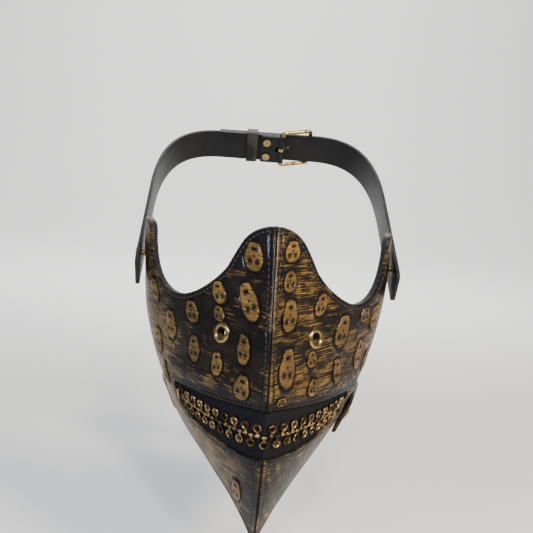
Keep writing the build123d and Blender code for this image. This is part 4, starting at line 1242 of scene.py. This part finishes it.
def stage_sweep(level):
    """Pale floor that curves up into a wall behind: a quarter circle carried along X."""
    turn = np.linspace(0, math.pi / 2, 24)
    y = np.r_[FLOOR_FRONT, BEND_START + BEND_RADIUS * np.sin(turn), BEND_START + BEND_RADIUS]
    z = np.r_[0, BEND_RADIUS - BEND_RADIUS * np.cos(turn), WALL_TOP] + level / MM
    x = np.array([-FLOOR_HALF, FLOOR_HALF])
    points = np.stack([x[:, None] + 0 * y, y + 0 * x[:, None], z + 0 * x[:, None]], -1)
    return new_piece("floor", points, grid_faces(2, len(y))[:, ::-1].tolist())


def area_light(name, place, width, power, colour, aim):
    light = bpy.data.lights.new(name, "AREA")
    light.size = width
    light.energy = power
    light.color = colour
    lamp = bpy.data.objects.new(name, light)
    lamp.location = place
    lamp.rotation_euler = (Vector(aim) - lamp.location).to_track_quat("-Z", "Y").to_euler()
    bpy.context.scene.collection.objects.link(lamp)


def stage_camera(stage):
    """The camera: at its distance and height from the eyes, tilted, then turned about its
    line of sight."""
    lens = bpy.data.cameras.new("camera")
    lens.sensor_width = 36
    lens.lens = stage.lens
    lens.clip_start = 0.01
    camera = bpy.data.objects.new("camera", lens)
    c, d = math.cos(stage.pitch), math.sin(stage.pitch)
    forward = Vector((-math.sin(stage.yaw) * c, math.cos(stage.yaw) * c, -d))
    right = Vector((math.cos(stage.yaw), math.sin(stage.yaw), 0))
    up = right.cross(forward)
    across = right * math.cos(stage.roll) + up * math.sin(stage.roll)
    above = up * math.cos(stage.roll) - right * math.sin(stage.roll)
    back = stage.distance * math.cos(stage.elevation)
    place = Vector((math.sin(stage.yaw) * back, -math.cos(stage.yaw) * back,
                    stage.distance * math.sin(stage.elevation)))
    turn = Matrix((across, above, -forward)).transposed().to_4x4()
    camera.matrix_world = Matrix.Translation(place + CAMERA_SHIFT) @ turn
    bpy.context.scene.collection.objects.link(camera)
    return camera


class MASK_OT_stage(bpy.types.Operator):
    """Set up the pale floor, the soft lights and the camera"""

    bl_idname = "mask.stage"
    bl_label = "Stage"

    def execute(self, context):
        stage = context.scene.mask_stage
        floor = stage_sweep(CAD_BOX[0][2] - stage.floor_gap)
        material, tree, shader = new_material("pale_floor")
        shade = mix_colour(tree, noise(tree, object_place(tree), 3.0), (0.70, 0.70, 0.69), (0.74, 0.74, 0.73))
        wire(tree, shader, Base_Color=shade, Roughness=0.9)
        paint(floor, material)
        world = bpy.data.worlds.new("studio")
        world.use_nodes = True
        sky = world.node_tree.nodes["Background"]
        wire(world.node_tree, sky, Color=(0.93, 0.95, 1.0, 1), Strength=0.26)
        context.scene.world = world
        for lamp in LAMPS:
            area_light(*lamp)
        context.scene.camera = stage_camera(stage)
        return {"FINISHED"}


class MASK_PT_panel(bpy.types.Panel):
    """Lists the mask's pieces and settings"""

    bl_idname = "MASK_PT_panel"
    bl_label = "Half mask"
    bl_space_type = "VIEW_3D"
    bl_region_type = "UI"
    bl_category = "Mask"

    def draw(self, context):
        for operator in OPERATORS:
            self.layout.operator(operator.bl_idname)
        for settings in (context.scene.mask_colours, context.scene.mask_sizes, context.scene.mask_stage):
            for name in settings.__annotations__:
                self.layout.prop(settings, name)


OPERATORS = (MASK_OT_stage, MASK_OT_panels, MASK_OT_skulls, MASK_OT_stitches, MASK_OT_linings,
             MASK_OT_zip, MASK_OT_straps, MASK_OT_metal)
CLASSES = (MaskColours, MaskSizes, MaskStage) + OPERATORS + (MASK_PT_panel,)


def register():
    for item in CLASSES:
        bpy.utils.register_class(item)
    bpy.types.Scene.mask_colours = bpy.props.PointerProperty(type=MaskColours)
    bpy.types.Scene.mask_sizes = bpy.props.PointerProperty(type=MaskSizes)
    bpy.types.Scene.mask_stage = bpy.props.PointerProperty(type=MaskStage)


def unregister():
    del bpy.types.Scene.mask_stage
    del bpy.types.Scene.mask_sizes
    del bpy.types.Scene.mask_colours
    for item in reversed(CLASSES):
        bpy.utils.unregister_class(item)


def main():
    register()
    for operator in OPERATORS:
        group, name = operator.bl_idname.split(".")
        getattr(getattr(bpy.ops, group), name)()


if __name__ == "__main__":
    main()
